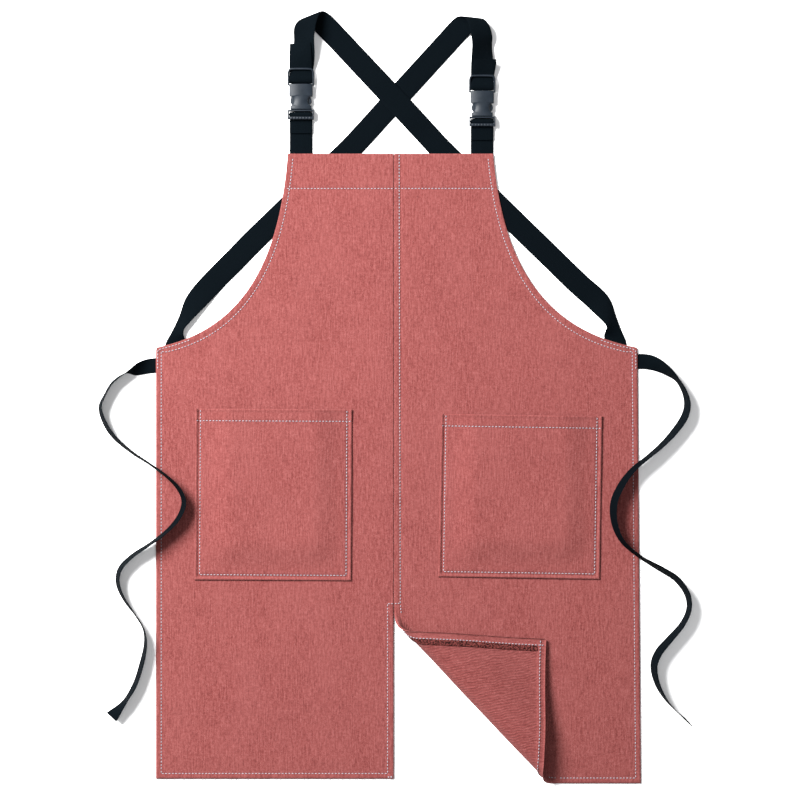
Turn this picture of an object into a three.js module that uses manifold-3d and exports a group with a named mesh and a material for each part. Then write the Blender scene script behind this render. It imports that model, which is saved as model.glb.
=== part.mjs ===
// A cross-back work apron lying flat, front up, with one leg of the split skirt folded back.
// Millimetres, +Z up, +Y towards the bib, z = 0 on the surface that the apron lies on.
import * as THREE from 'three';
import { mergeVertices } from 'three/addons/utils/BufferGeometryUtils.js';
import Module from 'manifold-3d';

const wasm = await Module();
wasm.setup();

// Driving dimensions of the cloth
const sideX = 320; // half of the skirt's width at the hem
const waistRightX = sideX - 4.5; // the right side leans in a little at the waist
const bibTopY = 321.5;
const bibLeftX = 146;
const bibRightX = 125;
const waistY = 66;
const leftHemY = -503;
const rightHemY = -509;
const seamX = -6; // centre seam, and below it the split
const splitTopY = -272;
const clothThickness = 1;
const clothZ = 2.9; // middle of the front cloth
const hemWidth = 10;
const bibHemDepth = 46;
const hemLap = 2; // where the bib's hem and the armhole's hem join
const hemTuck = 0.05; // how far the hems reach up into the cloth that they belong to
const flapHemDepth = 1; // the folded leg's hems stand this far off its cloth
const armholeSteep = { reach: 0.055, drop: 0.51 }; // shares of the armhole's reach and drop
const armholeFlat = { reach: 0.3, drop: 0.91 };
const gap = 0.3; // between pieces that touch

// Folded leg
const foldPoint = new THREE.Vector2(seamX + 100.7, splitTopY - 139.8); // on the line of the fold
const foldAngle = -46.3; // direction of the fold, degrees from +X
const foldRadius = 13;
const foldClearance = 0.7; // lets the folded leg's edge swing clear of the roll
const foldSlope = 10; // degrees that the folded leg falls from the fold to its corner

// Pockets
const pocketBelly = 6;
const pocketBellyRamp = 42;
const pocketEdge = 10; // flat round its sewn edges
const pocketStitchInset = 7;
const pocketHemStitch = 15; // from the pocket's top
const pocketThreadLift = 0.2; // the cloth already rises a little at the stitching
const leftPocket = { x: (seamX - sideX) / 2 - 2, y: waistY - 194, width: 207, height: 226, turn: -0.3 };
const rightPocket = { x: (seamX + sideX) / 2 + 3.5, y: waistY - 196.5, width: 213, height: 215, turn: -0.9 };

// Thread
const threadWidth = 0.9;
const threadThickness = 0.4;
const stitchInset = 8;

// Webbing and buckles
const strapWidth = 30;
const strapThickness = 1.6;
const strapZ = 0.9;
const tieWidth = 20;
const tieThickness = 1.2;
const leftBuckle = { x: -bibLeftX + strapWidth / 2 + 2.5, mouthY: bibTopY + 57.5 };
const rightBuckle = { x: bibRightX - strapWidth / 2 + 0.3, mouthY: bibTopY + 48.5 };
const leftTail = 45.3; // from the socket's bar to the end of the strap's tail
const rightTail = 33.3;
const strapUnderBib = 9;
const socketLength = 33.7;
const windowLength = 21;
const plugLength = 13;
const railWidth = 1.8;
const sleeveHeight = 10.4;
const sleeveWall = 2.3;
const sleeveZ = 6.2; // middle of the buckle
const mouthSides = 5; // straight stretch of the sleeve's sides at its mouth
const barFit = gap + 0.1; // between the webbing and the rails, and between the webbing and its bar
const halfShoulder = strapWidth / 2 + barFit;
const halfMouth = halfShoulder - 1.5;
const halfGrip = halfShoulder - 7.2; // controls how far the finger cut-outs reach in
const cavityHalfWidth = halfMouth - 1.4;
const gripY = 12.5;
const shoulderY = 21;
const cavityRoof = 4;
const barSize = 2.6;
const barLift = 4.6; // the outer bar's top and the rails' top above the buckle's middle
const innerBarOffset = 8; // from the sleeve to the bar that carries the shoulder strap
const plugBarOffset = 6.6; // from the mouth to the bar that carries the short strap
const plugBlock = 2;
const plugBlockDrop = 2.9;
const tongueHalf = 2;
const tongueHalfHeight = 1.8;
const armInner = cavityHalfWidth - 6;
const armWidth = 3;
const armHeight = 4.4;
const armLength = 21;
const armTabs = [6, 8, 16]; // where each arm widens, and where it narrows again

const clothMaterial = { color: 0xb4605c, roughness: 0.95, metalness: 0 };
const webbingMaterial = { color: 0x12161d, roughness: 0.9, metalness: 0 };
const plasticMaterial = { color: 0x353c45, roughness: 0.45, metalness: 0 };
const threadMaterial = { color: 0xe9dfe2, roughness: 0.8, metalness: 0 };
const overlockMaterial = { color: 0x5a1c20, roughness: 0.9, metalness: 0 };

const clothTop = clothZ + clothThickness / 2;
const clothBottom = clothZ - clothThickness / 2;

const apron = new THREE.Group();

function addMesh(name, geometry, look, parent = apron) {
  const mesh = new THREE.Mesh(geometry, new THREE.MeshStandardMaterial(look));
  mesh.name = name;
  parent.add(mesh);
  return mesh;
}

function toSolid(geometry) {
  const bare = geometry.index ? geometry.clone() : geometry;
  bare.deleteAttribute('normal');
  bare.deleteAttribute('uv');
  const merged = mergeVertices(bare, 1e-4);
  const vertProperties = new Float32Array(merged.attributes.position.array);
  const triVerts = new Uint32Array(merged.index.array);
  return new wasm.Manifold(new wasm.Mesh({ numProp: 3, vertProperties, triVerts }));
}

function toGeometry(solid) {
  const { vertProperties, triVerts } = solid.getMesh();
  const geometry = new THREE.BufferGeometry();
  geometry.setAttribute('position', new THREE.BufferAttribute(vertProperties, 3));
  geometry.setIndex(new THREE.BufferAttribute(triVerts, 1));
  geometry.computeVertexNormals();
  return geometry;
}

function join(geometries) {
  return toGeometry(geometries.map(toSolid).reduce((sum, solid) => sum.add(solid)));
}

function cut(geometry, tools) {
  return toGeometry(tools.map(toSolid).reduce((left, tool) => left.subtract(tool), toSolid(geometry)));
}

function box(x0, x1, y0, y1, z0, z1) {
  const geometry = new THREE.BoxGeometry(x1 - x0, y1 - y0, z1 - z0);
  geometry.translate((x0 + x1) / 2, (y0 + y1) / 2, (z0 + z1) / 2);
  return geometry;
}

function plate(points, bottom, top) {
  const geometry = new THREE.ExtrudeGeometry(new THREE.Shape(points), {
    depth: top - bottom,
    bevelEnabled: false,
  });
  geometry.translate(0, 0, bottom);
  return geometry;
}

// A closed sheet: place(u, v) gives its middle surface for u and v from 0 to 1.
function sheet(place, uSteps, vSteps, thickness) {
  const geometry = new THREE.BoxGeometry(1, 1, thickness, uSteps, vSteps, 1);
  const position = geometry.attributes.position;
  const step = 1e-4;
  for (let i = 0; i < position.count; i += 1) {
    const u = position.getX(i) + 0.5;
    const v = position.getY(i) + 0.5;
    const along = place(u + step, v).sub(place(u - step, v));
    const up = place(u, v + step).sub(place(u, v - step));
    const normal = along.cross(up).normalize();
    const point = place(u, v).addScaledVector(normal, position.getZ(i));
    position.setXYZ(i, point.x, point.y, point.z);
  }
  return geometry;
}

// A flat tape through stations of [x, y, z, acrossX, acrossY, acrossZ].
function tape(stations, width, thickness, steps) {
  const middle = new THREE.CatmullRomCurve3(
    stations.map((s) => new THREE.Vector3(s[0], s[1], s[2])), false, 'centripetal');
  const last = stations.length - 1;
  const place = (u, v) => {
    const t = THREE.MathUtils.clamp(v, 0, 1);
    const at = t * last;
    const i = Math.min(Math.floor(at), last - 1);
    const from = new THREE.Vector3(...stations[i].slice(3));
    const to = new THREE.Vector3(...stations[i + 1].slice(3));
    const across = from.lerp(to, at - i).normalize();
    const point = middle.getPoint(t);
    if (v !== t) point.addScaledVector(middle.getTangent(t), (v - t) * middle.getLength());
    return point.addScaledVector(across, (u - 0.5) * width);
  };
  return sheet(place, 1, steps, thickness);
}

// A flat line of thread through [x, y] points at one height, mitred at its corners.
function threadLine(points, z, width = threadWidth, thickness = threadThickness) {
  const left = [];
  const right = [];
  points.forEach((point, i) => {
    const here = new THREE.Vector2(...point);
    const before = new THREE.Vector2(...points[Math.max(i - 1, 0)]);
    const after = new THREE.Vector2(...points[Math.min(i + 1, points.length - 1)]);
    const inward = i > 0 ? here.clone().sub(before).normalize() : after.clone().sub(here).normalize();
    const outward = i < points.length - 1 ? after.clone().sub(here).normalize() : inward;
    const side = new THREE.Vector2(-inward.y - outward.y, inward.x + outward.x).normalize();
    const reach = width / 2 / side.dot(new THREE.Vector2(-inward.y, inward.x));
    left.push(here.clone().addScaledVector(side, reach));
    right.unshift(here.clone().addScaledVector(side, -reach));
  });
  return plate([...left, ...right], z, z + thickness);
}

// Armholes: from the bib's corner out to the waist, leaning steeply at first
function armhole(topX, waistX, inset = 0) {
  const reach = waistX - topX;
  const drop = bibTopY - waistY;
  const side = Math.sign(waistX);
  const curve = new THREE.CubicBezierCurve(
    new THREE.Vector2(topX - side * inset, bibTopY),
    new THREE.Vector2(topX + reach * armholeSteep.reach - side * inset, bibTopY - drop * armholeSteep.drop),
    new THREE.Vector2(topX + reach * armholeFlat.reach - side * inset, bibTopY - drop * armholeFlat.drop - inset),
    new THREE.Vector2(waistX - side * inset, waistY - inset));
  return curve.getPoints(18);
}

function clip(points, origin, inward) {
  const kept = [];
  points.forEach((from, i) => {
    const to = points[(i + 1) % points.length];
    const a = from.clone().sub(origin).dot(inward);
    const b = to.clone().sub(origin).dot(inward);
    if (a >= 0) kept.push(from);
    if (a * b < 0) kept.push(from.clone().lerp(to, a / (a - b)));
  });
  return kept;
}

// The fold: distance beyond it is measured towards the leg's corner
const foldDirection = new THREE.Vector2(1, 0).rotateAround(new THREE.Vector2(), THREE.MathUtils.degToRad(foldAngle));
const foldOutward = new THREE.Vector2(foldDirection.y, -foldDirection.x);
const foldTurn = Math.PI * foldRadius;
const foldStart = foldPoint.clone().addScaledVector(foldOutward, -foldTurn / 2);
const foldEnd = foldPoint.clone().addScaledVector(foldOutward, foldTurn / 2);

const leftOutline = [
  new THREE.Vector2(seamX - gap / 2, bibTopY),
  ...armhole(-bibLeftX, -sideX),
  new THREE.Vector2(-sideX, leftHemY),
  new THREE.Vector2(seamX - gap / 2, leftHemY),
];
const rightOutline = [
  new THREE.Vector2(seamX + gap / 2, rightHemY),
  new THREE.Vector2(sideX, rightHemY),
  ...armhole(bibRightX, waistRightX).reverse(),
  new THREE.Vector2(seamX + gap / 2, bibTopY),
];
const rightKept = clip(rightOutline, foldStart, foldOutward.clone().negate());
const flapOutline = clip(rightOutline, foldEnd.clone().addScaledVector(foldOutward, foldClearance), foldOutward);

// The skirt's hems are turned under and carry the cloth on the surface.
// The armholes' and the bib's hems stay above the shoulder straps that pass under them.
const hemTop = clothBottom + hemTuck;
const bibHemBottom = strapZ + strapThickness / 2 + gap;
const sideHemTopY = waistY - 42; // the straps' and the ties' ends lie above it

function armholeHem(topX, waistX) {
  const outer = armhole(topX, waistX);
  const inner = armhole(topX, waistX, hemWidth);
  return plate([...outer, ...inner.reverse()], bibHemBottom, hemTop);
}

addMesh('left_panel', join([
  plate(leftOutline, clothBottom, clothTop),
  box(-sideX, -sideX + hemWidth, leftHemY, sideHemTopY, 0, hemTop),
  box(-sideX, seamX - gap / 2, leftHemY, leftHemY + hemWidth, 0, hemTop),
  box(seamX - gap / 2 - hemWidth, seamX - gap / 2, leftHemY, splitTopY, 0, hemTop),
  box(-bibLeftX + hemWidth - hemLap, seamX - gap / 2, bibTopY - bibHemDepth, bibTopY, bibHemBottom, hemTop),
  armholeHem(-bibLeftX, -sideX),
]), clothMaterial);

// The cloth rolls over along the fold, from the kept panel up to the folded leg.
function foldRoll() {
  const lengthAt = (beyond) => {
    const base = foldStart.clone().addScaledVector(foldOutward, beyond);
    return {
      top: (seamX + gap / 2 - base.x) / foldDirection.x,
      bottom: (rightHemY - base.y) / foldDirection.y,
    };
  };
  const place = (u, v) => {
    const beyond = THREE.MathUtils.lerp(-1, foldTurn, v);
    const { top, bottom } = lengthAt(beyond);
    const along = THREE.MathUtils.lerp(bottom, top, u);
    const angle = Math.max(beyond, 0) / foldRadius;
    const out = beyond < 0 ? beyond : foldRadius * Math.sin(angle);
    const point = foldStart.clone().addScaledVector(foldOutward, out).addScaledVector(foldDirection, along);
    return new THREE.Vector3(point.x, point.y, clothZ + foldRadius * (1 - Math.cos(angle)));
  };
  return sheet(place, 1, 16, clothThickness);
}

// The kept hem ends short of the roll
const keptHemX = rightKept.filter((p) => p.y === rightHemY).map((p) => p.x).sort((a, b) => a - b)[0];
addMesh('right_panel', join([
  plate(rightKept, clothBottom, clothTop),
  foldRoll(),
  box(sideX - hemWidth, sideX, rightHemY, sideHemTopY, 0, hemTop),
  box(keptHemX + hemWidth, sideX, rightHemY, rightHemY + hemWidth, 0, hemTop),
  box(seamX + gap / 2, bibRightX - hemWidth + hemLap, bibTopY - bibHemDepth, bibTopY, bibHemBottom, hemTop),
  armholeHem(bibRightX, waistRightX),
]), clothMaterial);

// The folded leg is drawn open and flat, then turned about the hinge that lays it over the panel.
const openTurn = THREE.MathUtils.degToRad(180 + foldSlope);
const topLayerZ = clothZ + 2 * foldRadius;
const swing = 1 / (2 * Math.tan(-openTurn / 2));
const hingeOut = foldTurn / 2 - (clothZ - topLayerZ) * swing;
const hingeZ = (clothZ + topLayerZ) / 2 + foldTurn * swing;
const hingePoint = foldStart.clone().addScaledVector(foldOutward, hingeOut);
const flapPivot = new THREE.Group();
flapPivot.position.set(hingePoint.x, hingePoint.y, hingeZ);
flapPivot.quaternion.setFromAxisAngle(new THREE.Vector3(foldDirection.x, foldDirection.y, 0), -openTurn);
apron.add(flapPivot);

function onFlap(geometry) {
  geometry.translate(-hingePoint.x, -hingePoint.y, -hingeZ);
  return geometry;
}

const flapHemX = flapOutline.filter((p) => p.y === rightHemY).map((p) => p.x).sort((a, b) => b - a)[0];
const flapSplitY = flapOutline.filter((p) => p.x === seamX + gap / 2).map((p) => p.y).sort((a, b) => b - a)[0];
const flapHemZ = clothBottom - flapHemDepth;
addMesh('right_leg_flap', onFlap(join([
  plate(flapOutline, clothBottom, clothTop),
  box(seamX + gap / 2, seamX + gap / 2 + hemWidth, rightHemY, flapSplitY - hemWidth, flapHemZ, hemTop),
  box(seamX + gap / 2, flapHemX - hemWidth, rightHemY, rightHemY + hemWidth, flapHemZ, hemTop),
])), clothMaterial, flapPivot);

addMesh('flap_stitching', onFlap(threadLine([
  [seamX + stitchInset, flapSplitY - 2 * hemWidth],
  [seamX + stitchInset, rightHemY + stitchInset],
  [flapHemX - 2 * hemWidth, rightHemY + stitchInset],
], flapHemZ - gap - threadThickness)), threadMaterial, flapPivot);

const overlockWidth = 5;
const overlockThickness = 0.5;
const overlockX = seamX + hemWidth + overlockWidth / 2 + 1;
addMesh('flap_overlock', onFlap(threadLine([
  [overlockX, flapSplitY - 3 * hemWidth],
  [overlockX, rightHemY + hemWidth + 2],
], clothBottom - gap - overlockThickness, overlockWidth, overlockThickness)), overlockMaterial, flapPivot);

// Patch pockets stand open a little between their stitched sides and bottom.
function pocketPlace(pocket) {
  const turn = THREE.MathUtils.degToRad(pocket.turn);
  const sewnZ = clothTop + gap + clothThickness / 2;
  return (u, v) => {
    const across = (u - 0.5) * pocket.width;
    const up = (v - 0.5) * pocket.height;
    const fromSide = pocket.width / 2 - Math.abs(across) - pocketEdge;
    const fromBottom = v * pocket.height - pocketEdge;
    const rise = THREE.MathUtils.smoothstep(fromSide, 0, pocketBellyRamp)
      * THREE.MathUtils.smoothstep(fromBottom, 0, pocketBellyRamp);
    return new THREE.Vector3(
      pocket.x + across * Math.cos(turn) - up * Math.sin(turn),
      pocket.y + across * Math.sin(turn) + up * Math.cos(turn),
      sewnZ + pocketBelly * rise);
  };
}

function addPocket(side, pocket) {
  const place = pocketPlace(pocket);
  addMesh(`${side}_pocket`, sheet(place, 14, 10, clothThickness), clothMaterial);
  const onPocket = (across, up) => {
    const point = place(across / pocket.width + 0.5, up / pocket.height + 0.5);
    return [point.x, point.y];
  };
  const reach = pocket.width / 2 - pocketStitchInset;
  const rise = pocket.height / 2;
  const threadZ = clothTop + clothThickness + 2 * gap + pocketThreadLift;
  addMesh(`${side}_pocket_stitching`, threadLine([
    onPocket(-reach, rise - pocketStitchInset / 2),
    onPocket(-reach, -rise + pocketStitchInset),
    onPocket(reach, -rise + pocketStitchInset),
    onPocket(reach, rise - pocketStitchInset / 2),
  ], threadZ), threadMaterial);
  const hemV = 1 - pocketHemStitch / pocket.height;
  const lineWidth = threadWidth / pocket.height;
  const above = (clothThickness + threadThickness) / 2 + gap;
  addMesh(`${side}_pocket_hem_stitching`, sheet((u, v) => {
    const margin = (pocketStitchInset + 1.5) / pocket.width;
    const point = place(THREE.MathUtils.lerp(margin, 1 - margin, u), hemV + (v - 0.5) * lineWidth);
    point.z += above;
    return point;
  }, 14, 1, threadThickness), threadMaterial);
}
addPocket('left', leftPocket);
addPocket('right', rightPocket);

// Topstitching
const stitchZ = clothTop + gap;
addMesh('bib_top_stitching', threadLine([
  [-bibLeftX + 12, bibTopY - bibHemDepth + 1],
  [bibRightX - 6, bibTopY - bibHemDepth + 1],
], stitchZ), threadMaterial);
addMesh('centre_seam_stitching', threadLine([
  [seamX + 7, bibTopY - 2],
  [seamX + 7, bibTopY - bibHemDepth + 3],
], stitchZ), threadMaterial);
addMesh('skirt_seam_stitching', threadLine([
  [seamX + 7, bibTopY - bibHemDepth - 2],
  [seamX + 7, splitTopY + 3],
], stitchZ), threadMaterial);
addMesh('split_bar_stitching', threadLine([
  [seamX - stitchInset, splitTopY],
  [seamX + stitchInset, splitTopY],
], stitchZ), threadMaterial);

function edgeStitching(side, topX, waistX, hemX, hemEndX, hemY) {
  const sign = Math.sign(waistX);
  const line = armhole(topX, waistX, stitchInset - 1.5).slice(3, -1).map((p) => [p.x, p.y]);
  addMesh(`${side}_armhole_stitching`, threadLine(line, stitchZ), threadMaterial);
  const cornerY = waistY - stitchInset - 2;
  addMesh(`${side}_side_stitching`, threadLine([
    [waistX - sign * stitchInset, cornerY],
    [hemX - sign * stitchInset, hemY + stitchInset],
    [hemEndX, hemY + stitchInset],
  ], stitchZ), threadMaterial);
}
edgeStitching('left', -bibLeftX, -sideX, -sideX, seamX - 2 * stitchInset, leftHemY);
edgeStitching('right', bibRightX, waistRightX, sideX, keptHemX + 2 * stitchInset, rightHemY);
addMesh('left_split_stitching', threadLine([
  [seamX - stitchInset, leftHemY + stitchInset],
  [seamX - stitchInset, splitTopY - 3],
], stitchZ), threadMaterial);

// Side-release buckles. The socket takes the shoulder strap, the plug the short strap from the bib.
function webbingEnd(buckle, outerBarY, innerBarY, blockY) {
  const railInner = strapWidth / 2 + barFit;
  const rails = railInner + railWidth;
  const low = Math.min(outerBarY, blockY);
  const high = Math.max(outerBarY, blockY);
  const bar = (y, z) => {
    const round = new THREE.CylinderGeometry(barSize / 2, barSize / 2, 2 * rails, 16);
    round.rotateZ(Math.PI / 2);
    round.translate(buckle.x, y, z);
    return round;
  };
  const rail = (sign) => {
    const a = buckle.x + sign * railInner;
    const b = buckle.x + sign * rails;
    return box(Math.min(a, b), Math.max(a, b), low, high, sleeveZ - barSize / 2, sleeveZ + barLift);
  };
  return [bar(outerBarY, sleeveZ + barLift - barSize / 2), bar(innerBarY, sleeveZ), rail(-1), rail(1)];
}

function addBuckle(side, buckle) {
  const { x, mouthY } = buckle;
  const topY = mouthY + socketLength;
  const outline = new THREE.Shape();
  outline.moveTo(x - halfMouth, mouthY);
  outline.lineTo(x + halfMouth, mouthY);
  outline.lineTo(x + halfMouth, mouthY + mouthSides);
  outline.quadraticCurveTo(x + halfGrip, mouthY + gripY, x + halfShoulder, mouthY + shoulderY);
  outline.lineTo(x + halfShoulder, topY);
  outline.lineTo(x - halfShoulder, topY);
  outline.lineTo(x - halfShoulder, mouthY + shoulderY);
  outline.quadraticCurveTo(x - halfGrip, mouthY + gripY, x - halfMouth, mouthY + mouthSides);
  const sleeve = new THREE.ExtrudeGeometry(outline, { depth: sleeveHeight, bevelEnabled: false, curveSegments: 8 });
  sleeve.translate(0, 0, sleeveZ - sleeveHeight / 2);
  const half = sleeveHeight / 2 - sleeveWall;
  const cavity = box(
    x - cavityHalfWidth, x + cavityHalfWidth, mouthY - 1, topY - cavityRoof, sleeveZ - half, sleeveZ + half);
  const outerBarY = topY + windowLength - barSize / 2;
  const ends = webbingEnd(buckle, outerBarY, topY + innerBarOffset, topY - 2);
  addMesh(`${side}_buckle_socket`, cut(join([sleeve, ...ends]), [cavity]), plasticMaterial);

  const blockTop = mouthY - gap;
  const blockBottom = mouthY - plugBlock;
  const rails = strapWidth / 2 + barFit + railWidth;
  addMesh(`${side}_buckle_plug`, join([
    box(x - rails, x + rails, blockBottom, blockTop, sleeveZ - plugBlockDrop, sleeveZ + barLift),
    box(
      x - tongueHalf, x + tongueHalf, blockBottom, mouthY + armLength,
      sleeveZ - tongueHalfHeight, sleeveZ + tongueHalfHeight),
    ...webbingEnd(buckle, mouthY - plugLength + barSize / 2, mouthY - plugBarOffset, blockBottom + 1),
  ]), plasticMaterial);

  for (const [end, sign] of [['outer', Math.sign(x)], ['inner', -Math.sign(x)]]) {
    const armOuter = armInner + armWidth;
    const tab = cavityHalfWidth - gap;
    const arm = new THREE.Shape();
    arm.moveTo(x + sign * armInner, mouthY);
    arm.lineTo(x + sign * armOuter, mouthY);
    arm.lineTo(x + sign * armOuter, mouthY + armTabs[0]);
    arm.lineTo(x + sign * tab, mouthY + armTabs[1]);
    arm.lineTo(x + sign * tab, mouthY + armTabs[2]);
    arm.lineTo(x + sign * armOuter, mouthY + armLength);
    arm.lineTo(x + sign * armInner, mouthY + armLength);
    const geometry = new THREE.ExtrudeGeometry(arm, { depth: armHeight, bevelEnabled: false });
    geometry.translate(0, 0, sleeveZ - armHeight / 2);
    addMesh(`${side}_buckle_${end}_arm`, geometry, plasticMaterial);
  }
}
addBuckle('left', leftBuckle);
addBuckle('right', rightBuckle);

// Webbing round a bar: up behind the bar, over its front and back, as [y, z] from the bar's middle
const wrap = barSize / 2 + barFit + strapThickness / 2;
const wrapAngles = [-90, -45, 0, 45, 90, 135];

// Short strap from under the bib's top edge to the plug
function addShortStrap(side, buckle) {
  const barY = buckle.mouthY - plugBarOffset;
  const startY = bibTopY - strapUnderBib;
  const across = [1, 0, 0];
  const stations = [
    [buckle.x, startY, strapZ, ...across],
    [buckle.x, bibTopY + 4, strapZ, ...across],
    [buckle.x, barY - 22, strapZ + 0.2, ...across],
    [buckle.x, barY - 9, strapZ + 1.2, ...across],
    ...wrapAngles.map((a) => {
      const t = THREE.MathUtils.degToRad(a);
      return [buckle.x, barY + wrap * Math.cos(t), sleeveZ + wrap * Math.sin(t), ...across];
    }),
    [buckle.x, barY - 6, sleeveZ - 1.2, ...across],
    [buckle.x, barY - 14, strapZ + 3, ...across],
    [buckle.x, barY - 24, strapZ + 2.4, ...across],
  ];
  addMesh(`${side}_short_strap`, tape(stations, strapWidth, strapThickness, 44), webbingMaterial);
}
addShortStrap('left', leftBuckle);
addShortStrap('right', rightBuckle);

// Shoulder strap: its riser moves with the socket, the rest runs on to the opposite waist.
// Each loop holds the stations where the strap rises off the surface and turns over,
// as [x, y, z, acrossX, acrossY, acrossZ] with x and y from the middle of the socket's bar.
const riserLow = 4.6;
const riserStart = 12;
const tailRise = strapThickness + 2 * gap; // the tail lies on the riser
const leftLoop = [
  [0.7, 49.3, 10.5, 1, 0, 0],
  [4, 67.3, 14.5, 0.98, 0.16, 0.05],
  [11, 79.6, 13.4, 0.94, 0.34, 0],
  [16.1, 81.6, 8.5, 0.9, 0.42, 0],
  [24.5, 76.8, 3.2, 0.84, 0.54, 0],
  [36.8, 64.8, strapZ + 0.4, 0.76, 0.65, 0],
  [52, 48.8, strapZ, 0.735, 0.678, 0],
];
const rightLoop = [
  [0, 50.3, 9.5, 1, 0, 0],
  [-1.5, 69.3, 14.5, 0.98, -0.16, -0.05],
  [-7.3, 82.1, 13.4, 0.95, -0.3, 0],
  [-12.8, 85.1, 8.5, 0.92, -0.38, 0],
  [-21.3, 82.1, 3.2, 0.85, -0.52, 0],
  [-32.8, 71.3, strapZ + 0.4, 0.76, -0.65, 0],
  [-46.3, 56.3, strapZ, 0.738, -0.675, 0],
];

function socketBarY(buckle) {
  return buckle.mouthY + socketLength + innerBarOffset;
}

function placeLoop(buckle, loop) {
  return loop.map(([x, y, ...rest]) => [buckle.x + x, socketBarY(buckle) + y, ...rest]);
}

function addRiser(side, buckle, tail, loop) {
  const { x } = buckle;
  const barY = socketBarY(buckle);
  const turned = placeLoop(buckle, loop);
  const loopZ = turned[0][2];
  const halfwayY = barY + (tail + riserStart) / 2;
  const halfwayZ = (riserLow + loopZ) / 2;
  const across = [1, 0, 0];
  const stations = [
    [x, barY + tail, loopZ - 0.4 + tailRise, ...across],
    [x, halfwayY, halfwayZ + tailRise, ...across],
    [x, barY + riserStart, riserLow + tailRise, ...across],
    [x, barY + 5, sleeveZ + 1, ...across],
    ...[...wrapAngles].reverse().map((a) => {
      const t = THREE.MathUtils.degToRad(180 - a);
      return [x, barY + wrap * Math.cos(t), sleeveZ + wrap * Math.sin(t), ...across];
    }),
    [x, barY + 6, riserLow - 0.9, ...across],
    [x, barY + riserStart, riserLow - 0.3, ...across],
    [x, halfwayY, halfwayZ - 0.5, ...across],
    ...turned,
  ];
  addMesh(`${side}_riser_strap`, tape(stations, strapWidth, strapThickness, 72), webbingMaterial);
}
addRiser('left', leftBuckle, leftTail, leftLoop);
addRiser('right', rightBuckle, rightTail, rightLoop);

// Diagonals run straight from the loop to under the bib, and on to the other side's waist.
// The one from the left shoulder crosses on top.
const crossingZ = strapZ + strapThickness + gap;
const leftUpper = new THREE.Vector2(132.5, -142); // from the loop's end to under the bib
const rightUpper = new THREE.Vector2(-127, -139);
const strapStart = 0.7; // clear of the loop's end

function shoulderEnd(buckle, loop) {
  const end = placeLoop(buckle, loop).at(-1);
  return new THREE.Vector2(end[0], end[1]);
}
const leftShoulder = shoulderEnd(leftBuckle, leftLoop);
const rightShoulder = shoulderEnd(rightBuckle, rightLoop);
const apart = rightShoulder.clone().sub(leftShoulder);
const crossingAt = apart.cross(rightUpper) / leftUpper.cross(rightUpper) * leftUpper.length();

function addDiagonal(name, shoulder, upper, lifts, corner, lower) {
  const heading = upper.clone().normalize();
  const points = [
    ...lifts.map(([along, z]) => [shoulder.x + heading.x * along, shoulder.y + heading.y * along, z]),
    [shoulder.x + upper.x, shoulder.y + upper.y, strapZ],
    ...lower.map(([x, y]) => [corner[0] + x, corner[1] + y, strapZ]),
  ];
  const stations = points.map(([x, y, z], i) => {
    const before = points[Math.max(i - 1, 0)];
    const after = points[Math.min(i + 1, points.length - 1)];
    const along = new THREE.Vector2(after[0] - before[0], after[1] - before[1]).normalize();
    return [x, y, z, -along.y, along.x, 0];
  });
  addMesh(name, tape(stations, strapWidth, strapThickness, 40), webbingMaterial);
}
// Lifts are [distance from the loop's end, z]; the rest are [x, y] from the waist's corner.
addDiagonal('left_shoulder_strap', leftShoulder, leftUpper, [
  [strapStart, strapZ],
  [crossingAt - 84, strapZ],
  [crossingAt - 55, strapZ + 0.8],
  [crossingAt - 28, crossingZ],
  [crossingAt, crossingZ],
  [crossingAt + 28, crossingZ],
  [crossingAt + 48, strapZ + 0.8],
  [crossingAt + 60, strapZ + 0.1],
  [crossingAt + 72, strapZ],
], [waistRightX, waistY], [
  [-189.5, 192.5],
  [-110.5, 115.5],
  [-77.5, 83.5],
  [-53.5, 56.5],
  [-38.5, 32],
  [-30.5, 8],
  [-27.5, -11],
]);
addDiagonal('right_shoulder_strap', rightShoulder, rightUpper, [
  [strapStart, strapZ],
  [50, strapZ],
  [100, strapZ],
], [-sideX, waistY], [
  [208, 217],
  [135, 147],
  [104, 115.5],
  [74, 84],
  [50, 55],
  [36, 32],
  [27, 8],
  [23, -11],
]);

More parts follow.
